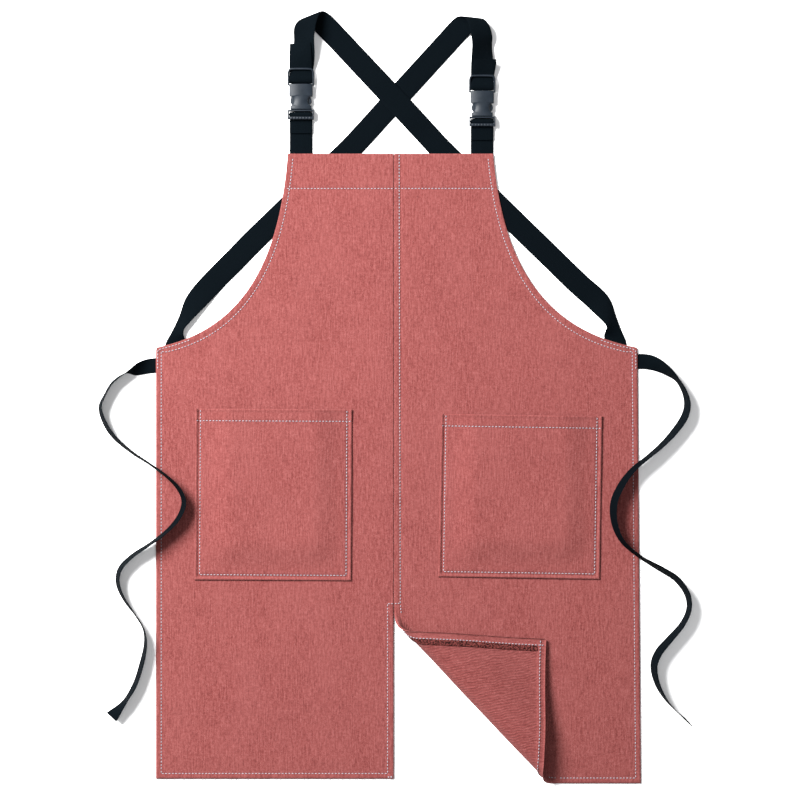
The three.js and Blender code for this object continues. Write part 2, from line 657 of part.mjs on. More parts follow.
// Waist ties stand on edge for most of their length: each station holds the way across the tape.
const edgeZ = tieWidth / 2 + gap;
const overZ = clothTop + 2 * gap + threadThickness + tieWidth / 2; // over the cloth and its stitching
const flatZ = 1.1;
const leftTie = [
  [-311, 43, flatZ, 0.1, 1, 0],
  [-329, 41.5, flatZ + 0.2, 0.12, 1, 0],
  [-343, 38, 5.4, 0.2, 0.9, 0.45],
  [-358, 33, 10, 0.1, 0.35, 0.95],
  [-376, 20, edgeZ, 0, 0, 1],
  [-387, 2, edgeZ, 0, 0, 1],
  [-392.5, -13, edgeZ, 0, 0, 1],
  [-387, -32, edgeZ, 0, 0, 1],
  [-375, -51, edgeZ, 0, 0, 1],
  [-352, -71, edgeZ + 1.5, 0, 0, 1],
  [-329, -86, overZ, 0, 0, 1],
  [-303, -105, overZ, 0, 0, 1],
  [-288, -121, overZ, 0, 0, 1],
  [-282, -138, overZ, 0, 0, 1],
  [-289, -158, overZ, 0, 0, 1],
  [-306, -177, overZ, 0, 0, 1],
  [-328, -193.5, overZ, 0, 0, 1],
  [-352, -210, edgeZ + 1.5, 0, 0, 1],
  [-367, -227, edgeZ, 0, 0, 1],
  [-369, -246, edgeZ, 0, 0, 1],
  [-360, -267, edgeZ, 0, 0, 1],
  [-345, -288, edgeZ, 0, 0, 1],
  [-335, -306, edgeZ, 0, 0, 1],
  [-333, -326, edgeZ, 0, 0, 1],
  [-338, -351, edgeZ, 0, 0, 1],
  [-347, -378, edgeZ, 0, 0, 1],
  [-360, -400, edgeZ, 0.2, 0.1, 0.9],
  [-378, -421, 6.6, 0.7, -0.5, 0.5],
];
const rightTie = [
  [307, 47, flatZ, 0.05, 1, 0],
  [325, 47.5, flatZ + 0.2, 0.05, 1, 0],
  [339, 44, 5.4, 0.15, 0.9, 0.45],
  [352, 36, 10, 0.25, 0.35, 0.95],
  [366, 24, edgeZ, 0, 0, 1],
  [376, 8, edgeZ, 0, 0, 1],
  [380, -9, edgeZ, 0, 0, 1],
  [376, -26, edgeZ, 0, 0, 1],
  [363, -45, edgeZ, 0, 0, 1],
  [346, -63, edgeZ + 1.5, 0, 0, 1],
  [327, -79, overZ, 0, 0, 1],
  [308, -95, overZ, 0, 0, 1],
  [293, -115, overZ, 0, 0, 1],
  [283, -139, overZ, 0, 0, 1],
  [284, -166, overZ, 0, 0, 1],
  [295, -190, overZ, 0, 0, 1],
  [317, -209, overZ, 0, 0, 1],
  [330, -217, overZ, 0, 0, 1],
  [346, -226, edgeZ + 1.5, 0, 0, 1],
  [366, -239, edgeZ, 0, 0, 1],
  [380, -259, edgeZ, 0, 0, 1],
  [382, -279, edgeZ, 0, 0, 1],
  [373, -299, edgeZ, 0, 0, 1],
  [356, -319, edgeZ, 0, 0, 1],
  [342, -336, edgeZ, 0, 0, 1],
  [336, -354, edgeZ, 0, 0, 1],
  [341, -378, edgeZ, 0, 0, 1],
  [353, -399, edgeZ + 0.2, -0.1, 0, 0.95],
  [368, -415, 8.6, -0.5, 0.35, 0.7],
  [382, -428, 5, -0.6, 0.7, 0.4],
];
addMesh('left_waist_tie', tape(leftTie, tieWidth, tieThickness, 78), webbingMaterial);
addMesh('right_waist_tie', tape(rightTie, tieWidth, tieThickness, 78), webbingMaterial);

export default apron;
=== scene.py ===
import math

import bmesh
import bpy
import numpy as np
from mathutils import Matrix, Vector


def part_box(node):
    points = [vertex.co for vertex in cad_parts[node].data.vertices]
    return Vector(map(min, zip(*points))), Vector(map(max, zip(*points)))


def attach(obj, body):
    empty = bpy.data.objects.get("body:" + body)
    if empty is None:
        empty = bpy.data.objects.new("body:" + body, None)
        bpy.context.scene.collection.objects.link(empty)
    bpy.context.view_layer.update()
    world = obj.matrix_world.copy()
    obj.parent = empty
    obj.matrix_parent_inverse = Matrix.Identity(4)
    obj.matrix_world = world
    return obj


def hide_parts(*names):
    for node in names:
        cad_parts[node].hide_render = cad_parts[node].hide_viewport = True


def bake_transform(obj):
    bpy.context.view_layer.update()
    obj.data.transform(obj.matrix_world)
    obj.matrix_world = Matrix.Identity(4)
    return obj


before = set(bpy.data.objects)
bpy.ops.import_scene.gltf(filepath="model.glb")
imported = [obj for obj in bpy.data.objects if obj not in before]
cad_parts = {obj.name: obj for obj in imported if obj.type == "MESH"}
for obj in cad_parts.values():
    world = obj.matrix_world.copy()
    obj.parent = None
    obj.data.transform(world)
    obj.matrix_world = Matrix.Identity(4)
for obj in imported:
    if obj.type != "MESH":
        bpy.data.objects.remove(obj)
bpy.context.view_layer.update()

scene = bpy.context.scene
mm = 0.001  # everything below is worked out in millimetres and placed in metres


# camera, floor and light

cameraSetup = {
    "middle": (2.0, -3.3),  # what the camera looks straight down on
    "viewWidth": 1056.0,
    "height": 3000.0,
    "sensor": 36.0,
}
lightSetup = {
    "floorTone": 0.96,
    "skyStrength": 0.42,
    "keyPlace": (-1700, 1250, 2000),
    "keySize": 1.5,
    "keyPower": 385.0,
    "fillPlace": (700, -300, 2600),
    "fillSize": 2.2,
    "fillPower": 16.0,
}


def aimAt(obj, target):
    direction = Vector(target) - obj.location
    obj.rotation_euler = direction.to_track_quat("-Z", "Y").to_euler()


def makeCamera(setup):
    data = bpy.data.cameras.new("camera")
    camera = bpy.data.objects.new("camera", data)
    x, y = setup["middle"]
    camera.location = (x * mm, y * mm, setup["height"] * mm)
    data.sensor_width = setup["sensor"]
    data.lens = setup["sensor"] * setup["height"] / setup["viewWidth"]
    data.clip_end = 50
    scene.collection.objects.link(camera)
    scene.camera = camera


def makeLight(name, place, size, power):
    data = bpy.data.lights.new(name, "AREA")
    data.shape = "DISK"
    data.size = size
    data.energy = power
    light = bpy.data.objects.new(name, data)
    light.location = [v * mm for v in place]
    aimAt(light, (0, 0, 0))
    scene.collection.objects.link(light)


def makeStage(setup):
    bm = bmesh.new()
    bmesh.ops.create_grid(bm, x_segments=1, y_segments=1, size=6)
    mesh = bpy.data.meshes.new("floor")
    bm.to_mesh(mesh)
    bm.free()
    floor = bpy.data.objects.new("floor", mesh)
    scene.collection.objects.link(floor)
    paint = bpy.data.materials.new("floorPaint")
    paint.use_nodes = True
    shader = paint.node_tree.nodes["Principled BSDF"]
    tone = setup["floorTone"]
    shader.inputs["Base Color"].default_value = (tone, tone, tone, 1)
    shader.inputs["Roughness"].default_value = 0.9
    shader.inputs["Specular IOR Level"].default_value = 0.1
    mesh.materials.append(paint)
    world = bpy.data.worlds.new("sky")
    world.use_nodes = True
    sky = world.node_tree.nodes["Background"]
    sky.inputs["Color"].default_value = (0.97, 0.98, 1.0, 1)
    sky.inputs["Strength"].default_value = setup["skyStrength"]
    scene.world = world
    makeLight("keyLight", setup["keyPlace"], setup["keySize"], setup["keyPower"])
    makeLight("fillLight", setup["fillPlace"], setup["fillSize"], setup["fillPower"])
    scene.view_settings.view_transform = "Standard"


makeCamera(cameraSetup)
makeStage(lightSetup)
print("camera, floor and light made")


# small helpers

def boxOf(node):
    low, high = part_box(node)
    return [v / mm for v in low], [v / mm for v in high]


def smoothStep(value, low, high):
    t = np.clip((value - low) / (high - low), 0, 1)
    return t * t * (3 - 2 * t)


def bump(distance, width):
    return np.exp(-((distance / width) ** 2))


def addPiece(name, bm, material, body=None, nodes=(), sharpAngle=50):
    bmesh.ops.recalc_face_normals(bm, faces=bm.faces)
    mesh = bpy.data.meshes.new(name)
    bm.to_mesh(mesh)
    bm.free()
    mesh.materials.append(material)
    mesh.polygons.foreach_set("use_smooth", [True] * len(mesh.polygons))
    mesh.set_sharp_from_angle(angle=math.radians(sharpAngle))
    piece = bpy.data.objects.new(name, mesh)
    scene.collection.objects.link(piece)
    if nodes:
        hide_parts(*nodes)
    if body:
        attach(piece, body)
    return piece


# materials

def newLook(name):
    material = bpy.data.materials.new(name)
    material.use_nodes = True
    return material, material.node_tree, material.node_tree.nodes["Principled BSDF"]


def addNode(tree, kind, inputs=None, **settings):
    node = tree.nodes.new(kind)
    for key, value in settings.items():
        setattr(node, key, value)
    for key, value in (inputs or {}).items():
        if isinstance(value, bpy.types.NodeSocket):
            tree.links.new(value, node.inputs[key])
        else:
            node.inputs[key].default_value = value
    return node


def surfaceMm(tree, scale=(1000, 1000, 1000), turn=0.0):
    coords = addNode(tree, "ShaderNodeTexCoord")
    mapping = addNode(tree, "ShaderNodeMapping", {"Vector": coords.outputs["UV"]})
    mapping.inputs["Scale"].default_value = scale
    mapping.inputs["Rotation"].default_value = (0, 0, turn)
    return mapping.outputs["Vector"]


def noiseNode(tree, vector, scale=1.0, detail=2.0, roughness=0.5):
    node = addNode(tree, "ShaderNodeTexNoise",
                   {"Vector": vector, "Scale": scale, "Detail": detail, "Roughness": roughness})
    return node.outputs["Fac"]


def rampNode(tree, factor, low, high, lowValue=0.0, highValue=1.0):
    node = addNode(tree, "ShaderNodeMapRange",
                   {"Value": factor, "From Min": low, "From Max": high, "To Min": lowValue, "To Max": highValue},
                   clamp=True)
    return node.outputs["Result"]


def mathNode(tree, operation, a, b):
    return addNode(tree, "ShaderNodeMath", {0: a, 1: b}, operation=operation).outputs[0]


def mixColour(tree, factor, a, b, blend="MIX"):
    node = addNode(tree, "ShaderNodeMix", {"Factor": factor}, data_type="RGBA", blend_type=blend)
    for index, value in ((6, a), (7, b)):
        if isinstance(value, bpy.types.NodeSocket):
            tree.links.new(value, node.inputs[index])
        else:
            node.inputs[index].default_value = (*value, 1)
    return node.outputs[2]


def waveNode(tree, vector, pitch, distortion=0.0, direction="X"):
    # a wave's band is 2*pi / (20 * scale) long
    node = addNode(tree, "ShaderNodeTexWave",
                   {"Vector": vector, "Scale": math.pi / (10 * pitch), "Distortion": distortion,
                    "Detail": 1.0, "Detail Scale": 0.6},
                   wave_type="BANDS", bands_direction=direction)
    return node.outputs["Fac"]


canvasLook = {
    "deep": (0.088, 0.0173, 0.0159),
    "base": (0.141, 0.0343, 0.0319),
    "pale": (0.193, 0.0583, 0.0551),
    "fleck": (0.27, 0.157, 0.149),
    "yarnPitch": 0.85,
    "ripplePitch": 3.5,
    "rippleFrom": (4.0, -499.0),  # the turned edges show the cloth's plain side
}


def makeCanvas(name, look, rippled=False):
    material, tree, shader = newLook(name)
    flat = surfaceMm(tree)
    streak = noiseNode(tree, surfaceMm(tree, (620, 55, 1000)), 1.0, 3.0, 0.65)
    blotch = noiseNode(tree, surfaceMm(tree, (330, 260, 1000)), 1.0, 2.0, 0.6)
    grain = noiseNode(tree, flat, 0.8, 2.0, 0.7)
    cloud = noiseNode(tree, surfaceMm(tree, (26, 9, 1000)), 1.0, 2.0, 0.5)
    mottle = mathNode(tree, "MULTIPLY", streak, 0.42)
    mottle = mathNode(tree, "ADD", mottle, mathNode(tree, "MULTIPLY", blotch, 0.30))
    mottle = mathNode(tree, "ADD", mottle, mathNode(tree, "MULTIPLY", grain, 0.28))
    colour = mixColour(tree, rampNode(tree, mottle, 0.38, 0.5), look["deep"], look["base"])
    colour = mixColour(tree, rampNode(tree, mottle, 0.5, 0.62), colour, look["pale"])
    colour = mixColour(tree, rampNode(tree, grain, 0.6, 0.78, 0.0, 0.4), colour, look["fleck"])
    colour = mixColour(tree, rampNode(tree, cloud, 0.35, 0.7, 0.0, 0.22), colour, look["pale"])
    warp = waveNode(tree, flat, look["yarnPitch"], 0.6, "X")
    weft = waveNode(tree, flat, look["yarnPitch"], 0.6, "Y")
    height = mathNode(tree, "ADD", mathNode(tree, "MULTIPLY", warp, 0.4), mathNode(tree, "MULTIPLY", weft, 0.4))
    height = mathNode(tree, "ADD", height, mathNode(tree, "MULTIPLY", mottle, 4.0))
    if rippled:
        place = addNode(tree, "ShaderNodeSeparateXYZ", {"Vector": flat}).outputs
        edges = [rampNode(tree, place[k], look["rippleFrom"][k], look["rippleFrom"][k] + 0.6) for k in (0, 1)]
        patch = rampNode(tree, noiseNode(tree, surfaceMm(tree, (150, 60, 1000)), 1.0, 2.0, 0.6), 0.3, 0.65, 0.25, 1.0)
        area = mathNode(tree, "MULTIPLY", mathNode(tree, "MULTIPLY", edges[0], edges[1]), patch)
        ripple = waveNode(tree, surfaceMm(tree, turn=0.25), look["ripplePitch"], 6.0, "X")
        dark = mathNode(tree, "MULTIPLY", rampNode(tree, ripple, 0.0, 0.75, 0.55, 0.0), area)
        colour = mixColour(tree, dark, colour, look["deep"])
        height = mathNode(tree, "ADD", height, mathNode(tree, "MULTIPLY", mathNode(tree, "MULTIPLY", ripple, area), 1.8))
    tree.links.new(colour, shader.inputs["Base Color"])
    normal = addNode(tree, "ShaderNodeBump", {"Height": height, "Strength": 0.5, "Distance": 0.0005})
    tree.links.new(normal.outputs["Normal"], shader.inputs["Normal"])
    shader.inputs["Roughness"].default_value = 0.95
    shader.inputs["Specular IOR Level"].default_value = 0.08
    shader.inputs["Sheen Weight"].default_value = 0.06
    shader.inputs["Sheen Roughness"].default_value = 0.6
    shader.inputs["Sheen Tint"].default_value = (1.0, 0.6, 0.57, 1)
    return material


webbingLook = {
    "base": (0.000504, 0.00118, 0.00181),
    "pale": (0.00252, 0.00483, 0.00693),
    "ribPitch": 1.5,
    "rowPitch": 1.1,
}


def makeWebbing(name, look):
    material, tree, shader = newLook(name)
    flat = surfaceMm(tree)
    ribs = waveNode(tree, flat, look["ribPitch"], 0.2, "X")
    rows = waveNode(tree, flat, look["rowPitch"], 0.5, "Y")
    weave = mathNode(tree, "MULTIPLY", ribs, rows)
    lint = noiseNode(tree, flat, 0.6, 3.0, 0.65)
    colour = mixColour(tree, rampNode(tree, weave, 0.1, 0.9), look["base"], look["pale"])
    colour = mixColour(tree, rampNode(tree, lint, 0.55, 0.8, 0.0, 0.45), colour, look["pale"])
    tree.links.new(colour, shader.inputs["Base Color"])
    height = mathNode(tree, "ADD", weave, mathNode(tree, "MULTIPLY", lint, 0.5))
    normal = addNode(tree, "ShaderNodeBump", {"Height": height, "Strength": 0.5, "Distance": 0.0004})
    tree.links.new(normal.outputs["Normal"], shader.inputs["Normal"])
    shader.inputs["Roughness"].default_value = 0.9
    shader.inputs["Specular IOR Level"].default_value = 0.02
    return material


plasticLook = {"dark": (0.0045, 0.00698, 0.0103), "light": (0.009, 0.0131, 0.0189)}


def makePlastic(name, look):
    material, tree, shader = newLook(name)
    coords = addNode(tree, "ShaderNodeTexCoord")
    grain = noiseNode(tree, coords.outputs["Object"], 2500.0, 2.0, 0.5)
    cloud = noiseNode(tree, coords.outputs["Object"], 120.0, 2.0, 0.5)
    tree.links.new(mixColour(tree, cloud, look["dark"], look["light"]), shader.inputs["Base Color"])
    tree.links.new(rampNode(tree, cloud, 0.3, 0.7, 0.4, 0.48), shader.inputs["Roughness"])
    normal = addNode(tree, "ShaderNodeBump", {"Height": grain, "Strength": 0.12, "Distance": 0.0001})
    tree.links.new(normal.outputs["Normal"], shader.inputs["Normal"])
    shader.inputs["Specular IOR Level"].default_value = 0.15
    return material


def makeThread(name, dark, light, scale=1800.0):
    material, tree, shader = newLook(name)
    coords = addNode(tree, "ShaderNodeTexCoord")
    fibre = noiseNode(tree, coords.outputs["Object"], scale, 2.0, 0.6)
    tree.links.new(mixColour(tree, rampNode(tree, fibre, 0.42, 0.6), dark, light), shader.inputs["Base Color"])
    normal = addNode(tree, "ShaderNodeBump", {"Height": fibre, "Strength": 0.3, "Distance": 0.0002})
    tree.links.new(normal.outputs["Normal"], shader.inputs["Normal"])
    shader.inputs["Roughness"].default_value = 0.8
    shader.inputs["Specular IOR Level"].default_value = 0.06
    return material


canvas = makeCanvas("brickCanvas", canvasLook)
canvasBack = makeCanvas("brickCanvasBack", canvasLook, rippled=True)
webbing = makeWebbing("navyWebbing", webbingLook)
plastic = makePlastic("darkPlastic", plasticLook)
topThread = makeThread("topThread", (0.17, 0.145, 0.165), (0.33, 0.31, 0.34))
overlockThread = makeThread("overlockThread", (0.007, 0.0014, 0.0012), (0.11, 0.026, 0.023), 520.0)
print("materials made")


# the cloth's cut and its places

leftLow, leftHigh = boxOf("left_panel")
rightLow, rightHigh = boxOf("right_panel")
cut = {
    "sideX": rightHigh[0],
    "waistRightX": 315.5,
    "bibTopY": leftHigh[1],
    "bibLeftX": 146.0,
    "bibRightX": 125.0,
    "waistY": 66.0,
    "leftHemY": leftLow[1],
    "rightHemY": -509.0,
    "seamX": -6.0,
    "splitTopY": -272.0,
    "thickness": 1.0,
    "midZ": 2.9,
    "hemWidth": 10.0,
    "cornerRound": 1.4,
    "bibHemDepth": 46.0,
    "turnWidth": 17.0,  # the split's turned edge with its overlocked raw side
    "gridStep": 4.0,
    "edgeInsets": (0, 0.4, 1.0, 1.8, 3.2, 5.0, 6.4, 7.3, 8.0, 8.7, 9.6, 10.1, 12),
}
fold = {
    "point": (94.7, -411.8),
    "angle": -46.3,
    "radius": 13.0,
    "drop": 20.0,
    "drawIn": (2.0, 1.5),  # at the split's end and at the hem's end
    "edgeLift": 1.0,
}


def armholePoints(topX, waistX, inset=0.0, count=64):
    reach = waistX - topX
    drop = cut["bibTopY"] - cut["waistY"]
    side = math.copysign(1, waistX)
    corners = np.array([
        (topX - side * inset, cut["bibTopY"]),
        (topX + reach * 0.055 - side * inset, cut["bibTopY"] - drop * 0.51),
        (topX + reach * 0.3 - side * inset, cut["bibTopY"] - drop * 0.91 - inset),
        (waistX - side * inset, cut["waistY"] - inset),
    ])
    t = np.linspace(0, 1, count)[:, None]
    return ((1 - t) ** 3 * corners[0] + 3 * (1 - t) ** 2 * t * corners[1]
            + 3 * (1 - t) * t ** 2 * corners[2] + t ** 3 * corners[3])


def lineDistance(x, y, points):
    best = np.full(len(x), 1e9)
    for (x0, y0), (x1, y1) in zip(points[:-1], points[1:]):
        dx, dy = x1 - x0, y1 - y0
        t = np.clip(((x - x0) * dx + (y - y0) * dy) / (dx * dx + dy * dy), 0, 1)
        best = np.minimum(best, np.hypot(x - x0 - t * dx, y - y0 - t * dy))
    return best


def sideLine(side):
    if side == "left":
        return np.array([(-cut["sideX"], cut["waistY"]), (-cut["sideX"], cut["leftHemY"])])
    return np.array([(cut["waistRightX"], cut["waistY"]), (cut["sideX"], cut["rightHemY"])])


def armholeOf(side, inset=0.0, count=64):
    if side == "left":
        return armholePoints(-cut["bibLeftX"], -cut["sideX"], inset, count)
    return armholePoints(cut["bibRightX"], cut["waistRightX"], inset, count)


def outerX(side, y):
    arm = armholeOf(side)[::-1]
    line = sideLine(side)[::-1]
    edge = np.where(y > cut["waistY"], np.interp(y, arm[:, 1], arm[:, 0]),
                    np.interp(y, line[:, 1], line[:, 0]))
    sign = -1 if side == "left" else 1
    return edge - sign * cut["cornerRound"] * bump(y - cut["waistY"], 2.2)


def waves(x, y, seed, height):
    draw = np.random.RandomState(seed)
    total = np.zeros(len(x))
    for _ in range(7):
        length = draw.uniform(70, 240)
        heading = draw.uniform(0, math.pi)
        phase = draw.uniform(0, 2 * math.pi)
        total += np.sin((x * math.cos(heading) + y * math.sin(heading)) * 2 * math.pi / length + phase)
    return height * (0.5 + total / 7)


def clothHeight(side, x, y):
    # height of the front surface above its plain level, and extra thickness behind
    sign = -1 if side == "left" else 1
    hemY = cut["leftHemY"] if side == "left" else cut["rightHemY"]
    dSide = lineDistance(x, y, sideLine(side))
    dArm = lineDistance(x, y, armholeOf(side))
    dHem = y - hemY
    dTop = cut["bibTopY"] - y
    dSeam = np.abs(x - cut["seamX"])
    belowSplit = smoothStep(-y, -cut["splitTopY"] - 3, -cut["splitTopY"] + 3)
    lift = waves(x, y, 11 if side == "left" else 12, 0.7)
    lift *= smoothStep(np.minimum(dSide, dHem), 0, 30) * 0.8 + 0.2
    hem = np.minimum(dSide, dHem)
    # folded edges are thick and round, and their stitching pulls them down
    for distance, depth, stitch in ((hem, 1.9, 7.3), (dArm, 0.5, 7.3), (dTop, 0.5, 46.0)):
        lift -= depth * np.clip(1 - distance / 1.8, 0, 1) ** 2
        lift += 0.35 * smoothStep(-distance, -stitch - 2.5, -stitch + 1)
        lift -= 0.45 * bump(distance - stitch, 1.1)
    pucker = np.sin((x + y * 0.8) * 2 * math.pi / 9.0) * 0.16
    lift += pucker * (bump(hem - 4, 4) + bump(dArm - 4, 4) + bump(dTop - 40, 7))
    split = belowSplit * (np.clip(1 - dSeam / 1.8, 0, 1) ** 2)
    lift -= 1.7 * split
    lift -= belowSplit * 0.45 * bump(dSeam - 8.4, 1.1)
    lift += belowSplit * 0.35 * smoothStep(-dSeam, -11, -8)
    seam = 1 - belowSplit
    if sign < 0:
        lift -= seam * (1.0 * np.clip(1 - dSeam / 1.4, 0, 1) ** 2)
    else:
        lift -= seam * (0.8 * np.clip(1 - dSeam / 0.9, 0, 1) ** 2)
        lift += seam * 0.55 * smoothStep(-dSeam, -8.2, -6.8)
        lift -= seam * 0.5 * bump(dSeam - 7, 0.9)
        lift -= seam * 0.35 * bump(dSeam - 9.5, 1.8)
    behind = 0.9 * smoothStep(-dHem, -cut["hemWidth"] - 0.3, -cut["hemWidth"] + 0.3)
    behind = np.maximum(behind, 0.9 * smoothStep(-dSide, -cut["hemWidth"] - 0.3, -cut["hemWidth"] + 0.3))
    behind = np.maximum(behind, 0.7 * belowSplit * smoothStep(-dSeam, -cut["turnWidth"] - 0.4, -cut["turnWidth"] + 0.4))
    return lift, behind


foldAngle = math.radians(fold["angle"])
foldAlong = np.array((math.cos(foldAngle), math.sin(foldAngle)))
foldOut = np.array((foldAlong[1], -foldAlong[0]))
foldTurn = math.pi * fold["radius"]
foldStart = np.array(fold["point"]) - foldOut * foldTurn / 2


def foldProfile():
    # the cloth turns right over, then sinks towards the panel and levels out
    step = 0.25
    s = np.arange(0, 260, step)
    beyond = s - foldTurn
    angle = np.where(s < foldTurn, s / fold["radius"],
                     math.pi + math.radians(fold["drop"]) * smoothStep(beyond, 0, 45)
                     * (1 - 0.75 * smoothStep(beyond, 45, 105)))
    out = np.concatenate(([0], np.cumsum(np.cos(angle[:-1]) * step)))
    up = np.concatenate(([0], np.cumsum(np.sin(angle[:-1]) * step)))
    return s, out, up, angle


profileS, profileOut, profileUp, profileAngle = foldProfile()


def placeCloth(side, x, y, faceSign, extra=0.0):
    # faceSign 1 is the front of the cloth, -1 its back; extra stands off it
    lift, behind = clothHeight(side, x, y)
    half = cut["thickness"] / 2
    offset = np.where(faceSign > 0, lift + half + extra, lift - half - behind - extra)
    if side == "left":
        return np.stack([x, y, np.maximum(cut["midZ"] + offset, 0.15)], axis=1)
    beyond = (x - foldStart[0]) * foldOut[0] + (y - foldStart[1]) * foldOut[1]
    along = (x - foldStart[0]) * foldAlong[0] + (y - foldStart[1]) * foldAlong[1]
    s = np.maximum(beyond, 0)
    angle = np.interp(s, profileS, profileAngle)
    out = np.where(beyond < 0, beyond, np.interp(s, profileS, profileOut)) - offset * np.sin(angle)
    up = np.interp(s, profileS, profileUp) + offset * np.cos(angle)
    z = cut["midZ"] + up
    placed = np.stack([
        foldStart[0] + foldAlong[0] * along + foldOut[0] * out,
        foldStart[1] + foldAlong[1] * along + foldOut[1] * out,
        np.where(beyond > 0, z, np.maximum(z, 0.15))], axis=1)
    return settleFold(x, y, placed)


def settleFold(flatX, flatY, placed):
    # the fold draws in towards the split's top, where the leg's turned edge is held
    beyond = foldDistance(flatX, flatY)
    along = (flatX - foldStart[0]) * foldAlong[0] + (flatY - foldStart[1]) * foldAlong[1]
    pull = fold["drawIn"][0] + (fold["drawIn"][1] - fold["drawIn"][0]) * smoothStep(along, -160, 100)
    weight = smoothStep(beyond, -1, 14) * (1 - smoothStep(beyond, 60, 150))
    edge = smoothStep(-flatY, 279, 300) * (1 - smoothStep(-flatY, 300, 470))
    edge = edge * (1 - smoothStep(flatX - cut["seamX"], 18, 95)) * fold["edgeLift"]
    placed[:, 0] -= foldOut[0] * pull * weight
    placed[:, 1] += edge - foldOut[1] * pull * weight
    return placed


def foldDistance(x, y):
    return (x - foldStart[0]) * foldOut[0] + (y - foldStart[1]) * foldOut[1]


def gridLines(side):
    insets = np.array(cut["edgeInsets"])
    hemY = cut["leftHemY"] if side == "left" else cut["rightHemY"]
    skirt = np.arange(hemY + 14, cut["waistY"] - 4, cut["gridStep"])
    arm = armholeOf(side, count=80)[::-1, 1]
    arm = arm[arm < cut["bibTopY"] - 50]
    top = cut["bibTopY"] - insets[::-1]
    hemStitch = cut["bibTopY"] - np.array((49, 47.5, 46.8, 46, 45.2, 44, 41))
    between = np.arange(cut["bibTopY"] - 38, cut["bibTopY"] - 13, 3.5)
    waist = cut["waistY"] + np.array((-3.6, -2.2, -1.2, 0.0))
    split = cut["splitTopY"] + np.array((-6, -3, -1, 1, 3))
    rows = np.unique(np.concatenate([hemY + insets, skirt, waist, arm, hemStitch, between, top, split]))
    keep = np.concatenate(([True], np.diff(rows) > 0.25))
    return rows[keep], insets


def makeClothGrid(side):
    rows, insets = gridLines(side)
    hem = cut["leftHemY"] if side == "left" else cut["rightHemY"]
    wide = abs((-cut["sideX"] if side == "left" else cut["sideX"]) - cut["seamX"])
    middle = int((wide - 2 * insets[-1]) / cut["gridStep"])
    share = np.linspace(0, 1, middle + 1)[1:-1]
    columns = 2 * len(insets) + len(share)
    bm = bmesh.new()
    bmesh.ops.create_grid(bm, x_segments=columns - 1, y_segments=len(rows) - 1, size=0.5)
    seam = cut["seamX"] + (-0.15 if side == "left" else 0.15)
    sign = 1 if side == "left" else -1
    edge = outerX(side, rows)
    fromEdge = edge[:, None] + sign * insets[None, :]
    fromSeam = np.repeat(seam - sign * insets[::-1][None, :], len(rows), axis=0)
    inner = fromEdge[:, -1:] + (fromSeam[:, :1] - fromEdge[:, -1:]) * share[None, :]
    table = np.concatenate([fromEdge, inner, fromSeam], axis=1)
    for v in bm.verts:
        i = round((v.co.x + 0.5) * (columns - 1))
        j = round((v.co.y + 0.5) * (len(rows) - 1))
        v.co = (table[j, i], rows[j], 0)
    return bm


def cutAtFold(bm, distance):
    at = foldStart + foldOut * distance
    geom = bm.verts[:] + bm.edges[:] + bm.faces[:]
    bmesh.ops.bisect_plane(bm, geom=geom, dist=0.01, plane_co=(*at, 0), plane_no=(*foldOut, 0))


def keepBetween(bm, low, high):
    drop = []
    for face in bm.faces:
        middle = face.calc_center_median()
        distance = float(foldDistance(middle.x, middle.y))
        if not low < distance < high:
            drop.append(face)
    bmesh.ops.delete(bm, geom=drop, context="FACES")


def thickenCloth(bm, place):
    # the flat sheet is doubled, then front and back go to their places and keep the flat cut as their UV map
    uv = bm.loops.layers.uv.new("UVMap")
    back = bm.verts.layers.int.new("back")
    made = bmesh.ops.extrude_face_region(bm, geom=bm.faces[:], use_keep_orig=True)
    for item in made["geom"]:
        if isinstance(item, bmesh.types.BMVert):
            item[back] = 1
    for face in bm.faces:
        for loop in face.loops:
            loop[uv].uv = (loop.vert.co.x * mm, loop.vert.co.y * mm)
    verts = bm.verts[:]
    x = np.array([v.co.x for v in verts])
    y = np.array([v.co.y for v in verts])
    face = np.where(np.array([v[back] for v in verts]) > 0, -1, 1)
    placed = place(x, y, face) * mm
    for v, co in zip(verts, placed):
        v.co = co


def makeClothPiece(name, side, low, high, material, body, nodes):
    bm = makeClothGrid(side)
    if side == "right":
        for distance in (low, high):
            if abs(distance) < 500:
                cutAtFold(bm, distance)
        keepBetween(bm, low, high)
    area = sum(face.calc_area() for face in bm.faces) * mm * mm
    thickenCloth(bm, lambda x, y, face: placeCloth(side, x, y, face))
    piece = addPiece(name, bm, material, body, nodes)
    return piece, area


foldLap = -4.5  # the flat pieces run a little way into the bend, so they still meet when it opens
leftCloth, leftArea = makeClothPiece("leftFront", "left", -1e4, 1e4, canvas, "apron", ["left_panel"])
rightCloth, rightArea = makeClothPiece("rightFront", "right", -1e4, -foldLap, canvas, "apron", ["right_panel"])
foldCloth, foldArea = makeClothPiece("foldedEdge", "right", -foldLap, foldTurn + foldLap, canvasBack, None, [])
legCloth, legArea = makeClothPiece("foldedLeg", "right", foldTurn + foldLap, 1e4, canvasBack, "folded_leg",
                                   ["right_leg_flap"])


def blendOverFold(piece):
    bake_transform(piece)


blendOverFold(foldCloth)
print("front cloth made")


# pockets

pockets = {
    "left": {"x": -165, "y": -128, "width": 207, "height": 226, "turn": -0.3},
    "right": {"x": 160.5, "y": -130.5, "width": 213, "height": 215, "turn": -0.9},
}
pocketShape = {"sewnZ": 5.1, "belly": 5.5, "ramp": 42.0, "edge": 10.0, "stitch": 7.0, "hemStitch": 16.0}


